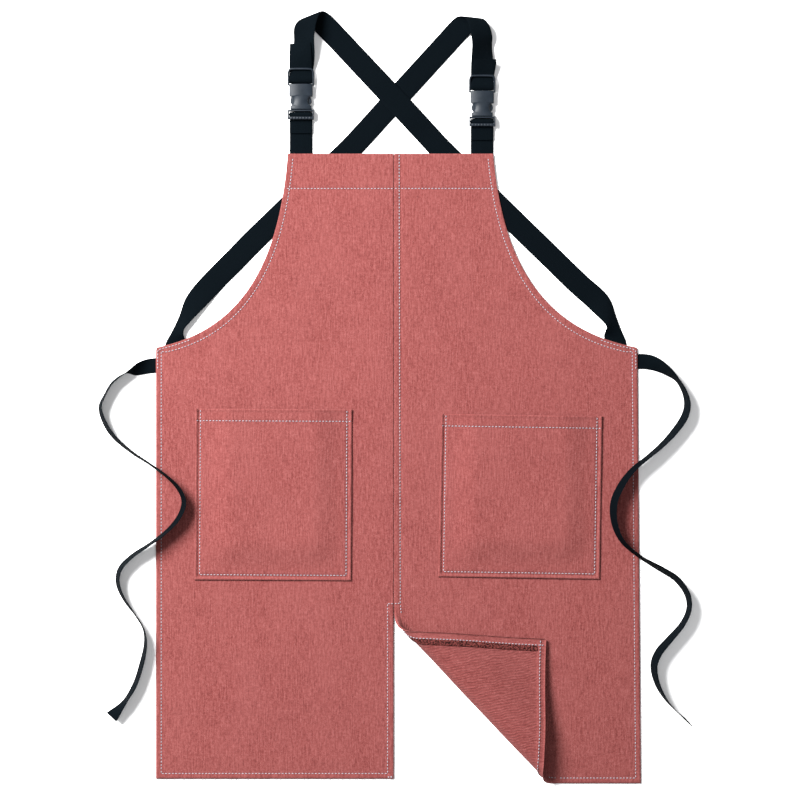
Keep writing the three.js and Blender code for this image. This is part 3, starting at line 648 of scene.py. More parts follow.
def placePocket(pocket, across, up, faceSign, extra=0.0):
    shape = pocketShape
    turn = math.radians(pocket["turn"])
    halfWidth = pocket["width"] / 2
    halfHeight = pocket["height"] / 2
    fromSide = halfWidth - np.abs(across)
    fromBottom = up + halfHeight
    fromTop = halfHeight - up
    rise = smoothStep(fromSide - shape["edge"], 0, shape["ramp"])
    rise = rise * smoothStep(fromBottom - shape["edge"], 0, shape["ramp"])
    z = shape["sewnZ"] + (shape["belly"] - 0.9) * rise
    z = z + waves(across, up, int(abs(pocket["x"])), 0.9) * rise
    hem = np.minimum(fromSide, fromBottom)
    z = z - 0.5 * np.clip(1 - hem / 1.2, 0, 1) ** 2 - 0.8 * bump(hem - shape["stitch"], 1.2)
    z = z + 0.9 * bump(hem - 1.9, 1.6) - 1.3 * bump(hem - 4.9, 1.2)
    z = z + 0.7 * bump(fromTop - 1.2, 2.0) - 0.6 * np.clip(1 - fromTop / 1.6, 0, 1) ** 2
    z = z + 0.5 * smoothStep(-fromTop, -shape["hemStitch"] - 2.5, -shape["hemStitch"] + 1)
    z = z - 0.45 * bump(fromTop - shape["hemStitch"], 1.1)
    z = z + np.sin(across * 2 * math.pi / 8) * 0.14 * bump(fromTop - 11, 5)
    z = z + np.sin((across + up) * 2 * math.pi / 8) * 0.12 * bump(hem - 3.5, 3)
    z = z + faceSign * (cut["thickness"] / 2 + extra)
    x = pocket["x"] + across * math.cos(turn) - up * math.sin(turn)
    y = pocket["y"] + across * math.sin(turn) + up * math.cos(turn)
    return np.stack([x, y, z], axis=1)


def pocketLines(length, insets, step, extra=()):
    half = length / 2
    low = -half + np.array(insets)
    middle = np.linspace(low[-1], -low[-1], int(2 * abs(low[-1]) / step) + 1)
    return np.unique(np.concatenate([low, middle, -low, np.array(extra)]))


def makePocket(side, pocket):
    insets = (0, 0.4, 1.0, 1.7, 3.0, 4.6, 6.0, 6.6, 7.0, 7.5, 8.4, 10)
    topStitch = pocket["height"] / 2 - np.array((19, 17.2, 16.6, 16, 15.3, 14, 12))
    columns = pocketLines(pocket["width"], insets, 4.0)
    rows = pocketLines(pocket["height"], insets, 4.0, topStitch)
    bm = bmesh.new()
    bmesh.ops.create_grid(bm, x_segments=len(columns) - 1, y_segments=len(rows) - 1, size=0.5)
    for v in bm.verts:
        i = round((v.co.x + 0.5) * (len(columns) - 1))
        j = round((v.co.y + 0.5) * (len(rows) - 1))
        v.co = (columns[i], rows[j], 0)
    thickenCloth(bm, lambda x, y, face: placePocket(pocket, x, y, face))
    piece = addPiece(f"{side}PocketCloth", bm, canvas, "apron", [f"{side}_pocket"])


for pocketSide, pocketCut in pockets.items():
    makePocket(pocketSide, pocketCut)
print("pockets made")


# stitching

stitchShape = {"length": 3.1, "gap": 1.3, "radius": 0.64, "sink": 0.2}


def evenPoints(points, step=1.0):
    points = np.array(points, float)
    lengths = np.concatenate(([0], np.cumsum(np.linalg.norm(np.diff(points, axis=0), axis=1))))
    count = max(2, int(lengths[-1] / step) + 1)
    at = np.linspace(0, lengths[-1], count)
    return np.stack([np.interp(at, lengths, points[:, k]) for k in range(2)], axis=1)


def addStitches(bm, path):
    # path is an n x 3 array in millimetres along the surface
    lengths = np.concatenate(([0], np.cumsum(np.linalg.norm(np.diff(path, axis=0), axis=1))))
    pitch = stitchShape["length"] + stitchShape["gap"]
    count = max(1, int(round(lengths[-1] / pitch)))
    pitch = lengths[-1] / count
    for k in range(count):
        ends = [np.array([np.interp(k * pitch + d, lengths, path[:, i]) for i in range(3)])
                for d in (stitchShape["gap"] / 2, pitch - stitchShape["gap"] / 2)]
        middle = Vector((ends[0] + ends[1]) / 2) * mm
        along = Vector(ends[1] - ends[0])
        half = along.length / 2
        turn = along.to_track_quat("Z", "X").to_matrix().to_4x4()
        thin = stitchShape["radius"] * mm
        place = Matrix.Translation(middle) @ turn @ Matrix.Diagonal((thin, thin, half * mm, 1))
        bmesh.ops.create_uvsphere(bm, u_segments=6, v_segments=4, radius=1, matrix=place)


def clothPath(side, points, faceSign=1):
    flat = evenPoints(points)
    lift = stitchShape["radius"] - stitchShape["sink"]
    return placeCloth(side, flat[:, 0], flat[:, 1], np.full(len(flat), faceSign), lift)


def makeStitching(name, paths, body, nodes):
    bm = bmesh.new()
    for path in paths:
        addStitches(bm, path)
    return addPiece(name, bm, topThread, body, nodes)


hemX = {side: sideLine(side)[1][0] for side in ("left", "right")}
inset = 7.3
bibStitchY = cut["bibTopY"] - cut["bibHemDepth"]
seamStitchX = cut["seamX"] + 7
leftSplitX = cut["seamX"] - 8.4
hemLine = {"left": cut["leftHemY"] + inset, "right": cut["rightHemY"] + inset}
makeStitching("bibTopStitching", [
    clothPath("left", [(-cut["bibLeftX"] - 1.2, bibStitchY), (cut["seamX"] - 0.5, bibStitchY)]),
    clothPath("right", [(cut["seamX"] + 0.5, bibStitchY), (cut["bibRightX"] + 1.2, bibStitchY)]),
], "apron", ["bib_top_stitching"])
makeStitching("centreSeamStitching", [
    clothPath("right", [(seamStitchX, cut["bibTopY"] - 1), (seamStitchX, bibStitchY + 1)]),
], "apron", ["centre_seam_stitching"])
makeStitching("skirtSeamStitching", [
    clothPath("right", [(seamStitchX, bibStitchY - 1), (seamStitchX + 1.4, cut["splitTopY"])]),
    clothPath("right", [(seamStitchX + 1.6, cut["splitTopY"] - 1), (seamStitchX + 2.6, cut["splitTopY"] - 13)]),
], "apron", ["skirt_seam_stitching"])
makeStitching("splitBarStitching", [
    clothPath("left", [(leftSplitX, cut["splitTopY"]), (cut["seamX"] - 0.5, cut["splitTopY"] + 0.3)]),
    clothPath("right", [(cut["seamX"] + 0.5, cut["splitTopY"] + 0.3), (seamStitchX + 1.4, cut["splitTopY"] + 0.6)]),
], "apron", ["split_bar_stitching"])
makeStitching("leftSplitStitching", [
    clothPath("left", [(leftSplitX, cut["splitTopY"]), (leftSplitX, hemLine["left"])]),
    clothPath("left", [(leftSplitX - 0.6, cut["leftHemY"] + 3.4), (cut["seamX"] - 1.4, cut["leftHemY"] + 2.2)]),
    clothPath("left", [(leftSplitX - 0.2, cut["leftHemY"] + 2.0), (cut["seamX"] - 1.8, cut["leftHemY"] + 3.8)]),
], "apron", ["left_split_stitching"])
for stitchSide, sign in (("left", -1), ("right", 1)):
    waistX, topY = sideLine(stitchSide)[0]
    line = sideLine(stitchSide) - np.array((sign * inset, 0))
    arm = armholeOf(stitchSide, inset)
    turnPoint = (line[0][0], topY - inset + 2.2)
    arm = [tuple(p) for p in arm[1:] if abs(p[0]) < abs(line[0][0]) - 1] + [turnPoint]
    makeStitching(f"{stitchSide}ArmholeStitching", [clothPath(stitchSide, arm)], "apron",
                  [f"{stitchSide}_armhole_stitching"])
    corner = [turnPoint, (line[1][0], hemLine[stitchSide])]
    hemEnd = (leftSplitX, hemLine["left"]) if stitchSide == "left" else (212, hemLine["right"])
    near = 2.6
    armNear = armholeOf(stitchSide, near)
    tack = [tuple(p) for p in armNear[-9:-1]] + [(waistX - sign * near, topY - near - 1.6)]
    tack.append((waistX - sign * near, topY - 29))
    makeStitching(f"{stitchSide}SideStitching", [
        clothPath(stitchSide, corner),
        clothPath(stitchSide, [corner[1], hemEnd]),
        clothPath(stitchSide, tack),
    ], "apron", [f"{stitchSide}_side_stitching"])
for pocketSide, pocketCut in pockets.items():
    halfWidth = pocketCut["width"] / 2
    halfHeight = pocketCut["height"] / 2
    reach = halfWidth - pocketShape["stitch"]
    bottom = -halfHeight + pocketShape["stitch"]
    hemUp = halfHeight - pocketShape["hemStitch"]

    def pocketPath(points, pocketCut=pocketCut):
        flat = evenPoints(points)
        return placePocket(pocketCut, flat[:, 0], flat[:, 1], 1, stitchShape["radius"] - stitchShape["sink"])

    makeStitching(f"{pocketSide}PocketStitching", [
        pocketPath([(-reach, halfHeight - 1.5), (-reach, bottom)]),
        pocketPath([(-reach, bottom), (reach, bottom)]),
        pocketPath([(reach, bottom), (reach, halfHeight - 1.5)]),
    ], "apron", [f"{pocketSide}_pocket_stitching"])
    makeStitching(f"{pocketSide}PocketHemStitching", [
        pocketPath([(-halfWidth + 1.5, hemUp), (halfWidth - 1.5, hemUp)]),
    ], "apron", [f"{pocketSide}_pocket_hem_stitching"])
print("stitching made")


# the folded leg's own stitching, which crosses the fold

splitLineX = cut["seamX"] + 8.6


def splitAtFold(points):
    flat = evenPoints(points, 0.5)
    distance = foldDistance(flat[:, 0], flat[:, 1])
    onFold = (distance > 0) & (distance < foldTurn + foldLap)
    return flat[onFold], flat[distance >= foldTurn + foldLap]


def backPath(flat, extra=None):
    lift = stitchShape["radius"] - stitchShape["sink"] if extra is None else extra
    return placeCloth("right", flat[:, 0], flat[:, 1], np.full(len(flat), -1), lift)


splitRun = [(splitLineX, cut["splitTopY"] - 2), (splitLineX, cut["rightHemY"] + 2)]
hemRun = [(236, hemLine["right"]), (cut["seamX"] + 2, hemLine["right"])]
foldPaths, legPaths = [], []
for run in (splitRun, hemRun):
    onFold, onLeg = splitAtFold(run)
    foldPaths.append(backPath(onFold))
    legPaths.append(backPath(onLeg))
foldPaths.append(clothPath("right", [(208, hemLine["right"]), (195, hemLine["right"])]))
foldStitching = makeStitching("foldStitching", foldPaths, None, [])
blendOverFold(foldStitching)
makeStitching("foldedLegStitching", legPaths, "folded_leg", ["flap_stitching"])


def makeOverlock(name, low, high, body, nodes):
    # a raised band of thread over the raw edge, with slanting loops across it
    bm = bmesh.new()
    near, far = 9.6, cut["turnWidth"] + 0.6
    top, bottomY = cut["splitTopY"] - 2, cut["rightHemY"] + 11
    count = int((top - bottomY) / 1.5)
    bmesh.ops.create_grid(bm, x_segments=6, y_segments=count, size=0.5)
    for v in bm.verts:
        v.co = (cut["seamX"] + near + (v.co.x + 0.5) * (far - near), bottomY + (v.co.y + 0.5) * (top - bottomY), 0)
    cutAtFold(bm, low)
    if high < 500:
        cutAtFold(bm, high)
    keepBetween(bm, low, high)
    middle = cut["seamX"] + (near + far) / 2
    halfBand = (far - near) / 2

    def place(x, y, face):
        crown = np.sqrt(np.clip(1 - ((x - middle) / halfBand) ** 2, 0.02, 1))
        return placeCloth("right", x, y, np.full(len(x), -1), np.where(face > 0, 0.9 * crown, 0.02))

    thickenCloth(bm, place)
    yarn = bmesh.new()
    for k, y in enumerate(np.arange(bottomY + 1, top - 1, 1.35)):
        slant = 0.7 if k % 2 else -0.7
        ends = np.array([(cut["seamX"] + near + 0.3, y - slant), (cut["seamX"] + far - 0.3, y + slant)])
        distance = foldDistance(ends[:, 0], ends[:, 1])
        if distance.min() < low or distance.max() > high:
            continue
        a, b = placeCloth("right", ends[:, 0], ends[:, 1], np.array([-1, -1]), 0.75)
        along = Vector(b - a)
        turn = along.to_track_quat("Z", "X").to_matrix().to_4x4()
        bmesh.ops.create_uvsphere(yarn, u_segments=6, v_segments=4, radius=1,
                                  matrix=Matrix.Translation(Vector((a + b) / 2) * mm) @ turn
                                  @ Matrix.Diagonal((0.45 * mm, 0.45 * mm, along.length / 2 * mm, 1)))
    mesh = bpy.data.meshes.new("yarn")
    yarn.to_mesh(mesh)
    yarn.free()
    bm.from_mesh(mesh)
    return addPiece(name, bm, overlockThread, body, nodes)


makeOverlock("foldedLegOverlock", foldTurn + foldLap, 1e4, "folded_leg", ["flap_overlock"])
foldOverlock = makeOverlock("foldOverlock", 1.0, foldTurn + foldLap, None, [])
blendOverFold(foldOverlock)
print("folded leg finished")


# webbing

strap = {"width": 30.0, "thickness": 1.6, "lowZ": 0.9, "barSize": 2.6, "gap": 0.3, "bellyZ": 6.2}
tie = {"width": 20.0, "thickness": 1.2, "lean": 0.42}


def curvePoints(stations, count):
    # an even, smooth run through the stations, with the way across carried along
    stations = np.array(stations, float)
    spans = np.sqrt(np.linalg.norm(np.diff(stations[:, :3], axis=0), axis=1))
    knots = np.concatenate(([0], np.cumsum(spans)))
    fine = np.linspace(0, knots[-1], 40 * len(stations))
    slopes = np.zeros_like(stations)
    for i in range(len(stations)):
        low, high = max(i - 1, 0), min(i + 1, len(stations) - 1)
        slopes[i] = (stations[high] - stations[low]) / (knots[high] - knots[low])
    index = np.clip(np.searchsorted(knots, fine, side="right") - 1, 0, len(stations) - 2)
    h = knots[index + 1] - knots[index]
    t = (fine - knots[index]) / h
    t, h = t[:, None], h[:, None]
    dense = ((2 * t ** 3 - 3 * t ** 2 + 1) * stations[index] + (t ** 3 - 2 * t ** 2 + t) * h * slopes[index]
             + (3 * t ** 2 - 2 * t ** 3) * stations[index + 1] + (t ** 3 - t ** 2) * h * slopes[index + 1])
    lengths = np.concatenate(([0], np.cumsum(np.linalg.norm(np.diff(dense[:, :3], axis=0), axis=1))))
    at = np.linspace(0, lengths[-1], count)
    even = np.stack([np.interp(at, lengths, dense[:, k]) for k in range(6)], axis=1)
    across = even[:, 3:] / np.maximum(np.linalg.norm(even[:, 3:], axis=1), 0.96)[:, None]  # shorter where pleated
    return even[:, :3], across, lengths[-1]


def makeTape(name, stations, width, thickness, body, nodes, step=2.5):
    length = curvePoints(stations, 3)[2]
    count = int(length / step) + 2
    middle, across, length = curvePoints(stations, count)
    tangent = np.gradient(middle, axis=0)
    tangent /= np.linalg.norm(tangent, axis=1)[:, None]
    normal = np.cross(across, tangent)
    normal /= np.linalg.norm(normal, axis=1)[:, None]
    columns = np.array((-1, -0.97, -0.88, -0.6, -0.25, 0.25, 0.6, 0.88, 0.97, 1)) / 2
    bm = bmesh.new()
    bmesh.ops.create_grid(bm, x_segments=len(columns) - 1, y_segments=count - 1, size=0.5)
    for v in bm.verts:
        i = round((v.co.x + 0.5) * (len(columns) - 1))
        j = round((v.co.y + 0.5) * (count - 1))
        v.co = (columns[i] * width, j, 0)

    def place(x, j, face):
        row = np.round(j).astype(int)
        rounding = np.sqrt(np.clip(1 - (2 * x / width) ** 8, 0.03, 1))
        point = middle[row] + across[row] * x[:, None]
        return point + normal[row] * (face * rounding * thickness / 2)[:, None]

    uv = bm.loops.layers.uv.new("UVMap")
    back = bm.verts.layers.int.new("back")
    made = bmesh.ops.extrude_face_region(bm, geom=bm.faces[:], use_keep_orig=True)
    for item in made["geom"]:
        if isinstance(item, bmesh.types.BMVert):
            item[back] = 1
    rowLength = length / (count - 1)
    for face in bm.faces:
        for loop in face.loops:
            loop[uv].uv = (loop.vert.co.x * mm, loop.vert.co.y * rowLength * mm)
    verts = bm.verts[:]
    x = np.array([v.co.x for v in verts])
    j = np.array([v.co.y for v in verts])
    face = np.where(np.array([v[back] for v in verts]) > 0, -1, 1)
    for v, co in zip(verts, place(x, j, face) * mm):
        v.co = co
    piece = addPiece(name, bm, webbing, body, nodes)
    return piece, middle, length


socketLength = 33.7
innerBarOffset = 8.0
plugBarOffset = 6.6
riserLow = 4.6
wrap = strap["barSize"] / 2 + strap["gap"] + 0.1 + strap["thickness"] / 2
wrapAngles = (-90, -60, -30, 0, 30, 60, 90, 120, 140)
socketReach = 6.7  # how far the worn loops reach towards the buckle's two halves
plugReach = 3.1
shoulders = {
    "left": {
        "tail": 45.3,
        "tailShift": -0.7,
        "riserShift": 4.5,
        "lean": 0.42,
        "loop": [
            (4.3, 49.3, 12.0, 0.9, 0.02, 0.42),
            (5.6, 67.3, 15.0, 0.95, 0.14, 0.22),
            (11, 79.6, 13.4, 0.94, 0.34, 0.05),
            (16.1, 81.6, 8.5, 0.9, 0.42, 0),
            (24.5, 76.8, 3.2, 0.84, 0.54, 0),
            (36.8, 64.8, 1.3, 0.76, 0.65, 0),
        ],
        "loopEnd": (52, 48.8),
        "upper": (132.5, -142),
        "waist": "right",
        "lower": [
            (-189.5, 192.5),
            (-110.5, 115.5),
            (-77.5, 83.5),
            (-56, 64.5, 1.2, 0.66, 0.75, 0),
            (-41, 47.5, 4.2, 0.4, 0.8, -0.18),
            (-35.2, 34.5, 5.2, 0.42, 0.46, -0.26),
            (-32.5, 23, 4.0, 0.66, 0.1, -0.2),
            (-29.8, 11.5, 1.3, 0.93, -0.22, -0.02),
            (-27.5, -11, 0.9, 1, -0.12, 0),
        ],
    },
    "right": {
        "tail": 33.3,
        "tailShift": 4.3,
        "riserShift": 0.0,
        "lean": -0.15,
        "loop": [
            (-0.3, 50.3, 11.5, 0.88, -0.02, -0.45),
            (-1.6, 67.0, 14.8, 0.95, -0.1, -0.25),
            (-6.6, 82.0, 13.6, 0.95, -0.2, -0.05),
            (-14.6, 88.2, 8.8, 0.99, -0.12, 0),
            (-23.2, 80.8, 3.3, 0.87, -0.48, 0),
            (-32.8, 71.3, 1.3, 0.76, -0.65, 0),
        ],
        "loopEnd": (-46.3, 56.3),
        "upper": (-127, -139),
        "waist": "left",
        "lower": [
            (208, 217),
            (135, 147),
            (104, 115.5),
            (74, 85),
            (49.5, 57, 3.6, 0.61, -0.61, 0.14),
            (38.5, 38.5, 5.0, 0.44, -0.36, 0.24),
            (32, 27.5, 4.8, 0.38, -0.24, 0.26),
            (28.5, 17.5, 3.6, 0.55, -0.1, 0.2),
            (26, 8.5, 1.3, 0.8, 0.06, 0.03),
            (23, -11, 0.9, 1, 0.04, 0),
        ],
    },
}


def buckleAt(side):
    low, high = boxOf(f"{side}_buckle_socket")
    return (low[0] + high[0]) / 2, low[1]


def shortStrapStations(x, mouthY):
    barY, low = mouthY - plugBarOffset, strap["lowZ"]
    stations = [
        (x, cut["bibTopY"] - 9, low),
        (x, cut["bibTopY"] + 4, low),
        (x, barY - 22, low + 0.2),
        (x, barY - 9, low + 1.2),
    ]
    for angle in wrapAngles:
        t = math.radians(angle)
        stations.append((x, barY + plugReach * math.cos(t), strap["bellyZ"] + wrap * math.sin(t)))
    stations += [(x, barY - 6, strap["bellyZ"] - 1.2), (x, barY - 14, low + 3), (x, barY - 24, low + 2.4)]
    return [(*s, 1, 0, 0) for s in stations]


def shoulderLine(side):
    # where the loop lies flat again, and the heading from there
    x, mouthY = buckleAt(side)
    shape = shoulders[side]
    end = np.array((x + shape["loopEnd"][0], mouthY + socketLength + innerBarOffset + shape["loopEnd"][1]))
    return end, np.array(shape["upper"], float)


def diagonalPoints(side):
    low = strap["lowZ"]
    end, upper = shoulderLine(side)
    length = np.hypot(*upper)
    if side == "left":
        other, otherUpper = shoulderLine("right")
        apart = other - end
        cross = upper[0] * otherUpper[1] - upper[1] * otherUpper[0]
        meet = (apart[0] * otherUpper[1] - apart[1] * otherUpper[0]) / cross * length
        over = strap["thickness"] + strap["gap"]
        lifts = [(meet - 84, 0), (meet - 55, 0.8), (meet - 28, over), (meet, over), (meet + 28, over),
                 (meet + 48, 0.8), (meet + 60, 0.1), (meet + 72, 0)]
    else:
        lifts = [(50, 0), (100, 0)]
    points = [(*(end + upper * at / length), low + lift) for at, lift in [(0, 0)] + lifts + [(length, 0)]]
    corner = sideLine(shoulders[side]["waist"])[0]
    for x, y, *rest in shoulders[side]["lower"]:
        points.append((corner[0] + x, corner[1] + y, *(rest or [low])))
    return points


def strapStations(side):
    shape = shoulders[side]
    x, mouthY = buckleAt(side)
    barY = mouthY + socketLength + innerBarOffset
    rise = strap["thickness"] + 2 * strap["gap"]
    top = shape["loop"][0]
    half = (shape["tail"] + 12) / 2
    halfZ = (riserLow + top[2]) / 2
    lean = shape["lean"]
    leanRise = lean * (shape["tailShift"] - shape["riserShift"])
    stations = [
        (x + shape["tailShift"], barY + shape["tail"], top[2] - 0.4 + rise + leanRise, 1, 0, lean),
        (x + shape["tailShift"] * 0.6, barY + half, halfZ + rise + leanRise * 0.3, 1, 0, lean * 0.5),
        (x + shape["tailShift"] * 0.15, barY + 12, riserLow + rise, 1, 0, 0),
        (x, barY + 5, strap["bellyZ"] + 1, 1, 0, 0),
    ]
    for angle in reversed(wrapAngles):
        t = math.radians(180 - angle)
        reach = socketReach if math.cos(t) < 0 else wrap
        stations.append((x, barY + reach * math.cos(t), strap["bellyZ"] + wrap * math.sin(t), 1, 0, 0))
    stations += [
        (x, barY + 6, riserLow - 0.9, 1, 0, 0),
        (x + shape["riserShift"] * 0.3, barY + 12, riserLow - 0.3, 1, 0, 0),
        (x + shape["riserShift"] * 0.8, barY + half, halfZ - 0.5, 1, 0, lean * 0.5),
    ]
    stations += [(x + dx, barY + dy, *rest) for dx, dy, *rest in shape["loop"]]
    run = diagonalPoints(side)
    for i, point in enumerate(run):
        after, before = run[min(i + 1, len(run) - 1)], run[max(i - 1, 0)]
        along = np.array((after[0] - before[0], after[1] - before[1]))
        along = along / np.hypot(along[0], along[1])
        turned = point[3:] or (-along[1], along[0], 0)
        stations.append((*point[:3], *turned))
    return stations


blendEnds = {"left": ((-10, 400), (-68, 461)), "right": ((2, 400), (56, 459))}
for strapSide, (blendFrom, blendTo) in blendEnds.items():
    makeTape(f"{strapSide}ShortWebbing", shortStrapStations(*buckleAt(strapSide)), strap["width"],
             strap["thickness"], "apron", [f"{strapSide}_short_strap"], 2.0)
    nodes = [f"{strapSide}_riser_strap", f"{strapSide}_shoulder_strap"]
    shoulder, _, _ = makeTape(f"{strapSide}ShoulderWebbing", strapStations(strapSide), strap["width"],
                              strap["thickness"], None, nodes, 2.0)
    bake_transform(shoulder)
print("shoulder straps made")


# waist ties: the same stations as the model's, on edge for most of their length

edgeZ = tie["width"] / 2 + 0.3
overZ = 3.4 + 0.6 + 0.4 + tie["width"] / 2
flatZ = 1.1
ties = {
    "left": [
        (-311, 43, flatZ, 0.1, 1, 0),
        (-329, 41.5, flatZ + 0.2, 0.12, 1, 0),
        (-343, 38, 5.4, 0.2, 0.9, 0.45),
        (-358, 33, 10, 0.1, 0.35, 0.95),
        (-376, 20, edgeZ, 0, 0, 1),
        (-387, 2, edgeZ, 0, 0, 1),
        (-392.5, -13, edgeZ, 0, 0, 1),
        (-387, -32, edgeZ, 0, 0, 1),
        (-375, -51, edgeZ, 0, 0, 1),
        (-352, -71, edgeZ + 1.5, 0, 0, 1),
        (-329, -86, overZ, 0, 0, 1),
        (-303, -105, overZ, 0, 0, 1),
        (-288, -121, overZ, 0, 0, 1),
        (-282, -138, overZ, 0, 0, 1),
        (-289, -158, overZ, 0, 0, 1),
        (-306, -177, overZ, 0, 0, 1),
        (-328, -193.5, overZ, 0, 0, 1),
        (-352, -210, edgeZ + 1.5, 0, 0, 1),
        (-367, -227, edgeZ, 0, 0, 1),
        (-369, -246, edgeZ, 0, 0, 1),
        (-360, -267, edgeZ, 0, 0, 1),
        (-345, -288, edgeZ, 0, 0, 1),
        (-335, -306, edgeZ, 0, 0, 1),
        (-333, -326, edgeZ, 0, 0, 1),
        (-338, -351, edgeZ, 0, 0, 1),
        (-347, -378, edgeZ, 0, 0, 1),
        (-360, -400, edgeZ, 0.2, 0.1, 0.9),
        (-378, -421, 6.6, 0.7, -0.5, 0.5),
    ],
    "right": [
        (307, 47, flatZ, 0.05, 1, 0),
        (325, 47.5, flatZ + 0.2, 0.05, 1, 0),
        (339, 44, 5.4, 0.15, 0.9, 0.45),
        (352, 36, 10, 0.25, 0.35, 0.95),
        (366, 24, edgeZ, 0, 0, 1),
        (376, 8, edgeZ, 0, 0, 1),
        (380, -9, edgeZ, 0, 0, 1),
        (376, -26, edgeZ, 0, 0, 1),
        (363, -45, edgeZ, 0, 0, 1),
        (346, -63, edgeZ + 1.5, 0, 0, 1),
        (327, -79, overZ, 0, 0, 1),
        (308, -95, overZ, 0, 0, 1),
        (293, -115, overZ, 0, 0, 1),
        (283, -139, overZ, 0, 0, 1),
        (284, -166, overZ, 0, 0, 1),
        (295, -190, overZ, 0, 0, 1),
        (317, -209, overZ, 0, 0, 1),
        (330, -217, overZ, 0, 0, 1),
        (346, -226, edgeZ + 1.5, 0, 0, 1),
        (366, -239, edgeZ, 0, 0, 1),
        (380, -259, edgeZ, 0, 0, 1),
        (382, -279, edgeZ, 0, 0, 1),
        (373, -299, edgeZ, 0, 0, 1),
        (356, -319, edgeZ, 0, 0, 1),
        (342, -336, edgeZ, 0, 0, 1),
        (336, -354, edgeZ, 0, 0, 1),
        (341, -378, edgeZ, 0, 0, 1),
        (353, -399, edgeZ + 0.2, -0.1, 0, 0.95),
        (368, -415, 8.6, -0.5, 0.35, 0.7),
        (382, -428, 5, -0.6, 0.7, 0.4),
    ],
}


def leanTie(stations):
    # where the tie stands on its edge it leans a little, so its face shows from above
    leaning = []
    for i, (x, y, z, ax, ay, az) in enumerate(stations):
        after, before = stations[min(i + 1, len(stations) - 1)], stations[max(i - 1, 0)]
        along = np.array((after[0] - before[0], after[1] - before[1]))
        along = along / np.hypot(along[0], along[1])
        lean = tie["lean"] * float(np.clip(2 * az - 1, 0, 1)) * (0.75 + 0.25 * math.sin(i * 1.1))
        leaning.append((x, y, z, ax - along[1] * lean, ay + along[0] * lean, az))
    return leaning


for tieSide, stations in ties.items():
    piece, middle, length = makeTape(f"{tieSide}WaistTape", leanTie(stations), tie["width"], tie["thickness"], "apron",
                                     [f"{tieSide}_waist_tie"])
    print(tieSide, "tie", round(length), "mm long")


# side-release buckles

buckleShape = {
    "midZ": 6.2,
    "height": 10.4,
    "wall": 2.3,
    "halfMouth": 13.9,
    "halfShoulder": 15.4,
    "halfGrip": 9.4,
    "gripLow": 5.0,
    "gripHigh": 18.0,
    "corner": 1.4,
    "cavity": 12.5,
    "window": 21.0,
    "rail": 1.8,
    "bar": 1.3,
    "crown": 2.4,
    "edge": 0.9,
    "plugLength": 13.0,
    "teeth": 7,
}


def roundedBlock(bm, low, high, radius, segments=3):
    low, high = np.array(low, float), np.array(high, float)
    verts = bmesh.ops.create_cube(bm, size=1)["verts"]
    for v in verts:
        v.co = ((low + high) / 2 + np.array(v.co) * (high - low)) * mm
    edges = list({edge for v in verts for edge in v.link_edges})
    bmesh.ops.bevel(bm, geom=edges, offset=radius * mm, segments=segments, profile=0.5,
                    affect="EDGES", material=-1)


def rod(bm, points, radius, sides=12):
    # a round bar through the points, closed at its ends
    points = np.array(points, float)
    tangents = np.gradient(points, axis=0)
    rings = []
    for i, (point, tangent) in enumerate(zip(points, tangents)):
        turn = Vector(tangent).to_track_quat("Z", "Y").to_matrix().to_4x4()
        place = Matrix.Translation(Vector(point) * mm) @ turn
        ring = bmesh.ops.create_circle(bm, cap_ends=i in (0, len(points) - 1), segments=sides,
                                       radius=radius * mm, matrix=place)["verts"]
        rings.append({edge for v in ring for edge in v.link_edges})
    for near, far in zip(rings[:-1], rings[1:]):
        bmesh.ops.bridge_loops(bm, edges=list(near | far))


def plateFromOutline(bm, outline, low, high, edge):
    # extruded from its outline, its upper rim rounded
    face = bm.faces.new([bm.verts.new((x * mm, y * mm, low * mm)) for x, y in outline])
    made = bmesh.ops.extrude_face_region(bm, geom=[face], use_keep_orig=True)["geom"]
    verts = [item for item in made if isinstance(item, bmesh.types.BMVert)]
    bmesh.ops.translate(bm, verts=verts, vec=(0, 0, (high - low) * mm))
    top = next(item for item in made if isinstance(item, bmesh.types.BMFace))
    bmesh.ops.bevel(bm, geom=list(top.edges), offset=edge * mm, segments=3, profile=0.5,
                    affect="EDGES", material=-1)


def socketHalfWidth(shape, y):
    # straight cheeks with a finger bay in each, and small round corners
    t = np.clip((y - shape["gripLow"]) / (shape["gripHigh"] - shape["gripLow"]), 0, 1)
    width = shape["halfMouth"] + (shape["halfShoulder"] - shape["halfMouth"]) * t
    width = width - (width - shape["halfGrip"]) * np.abs(np.sin(math.pi * t)) ** 0.45
    for toEnd in (y, socketLength - y):
        near = np.clip(1 - toEnd / shape["corner"], 0, 1)
        width = width - shape["corner"] * (1 - np.sqrt(1 - near ** 2))
    return width


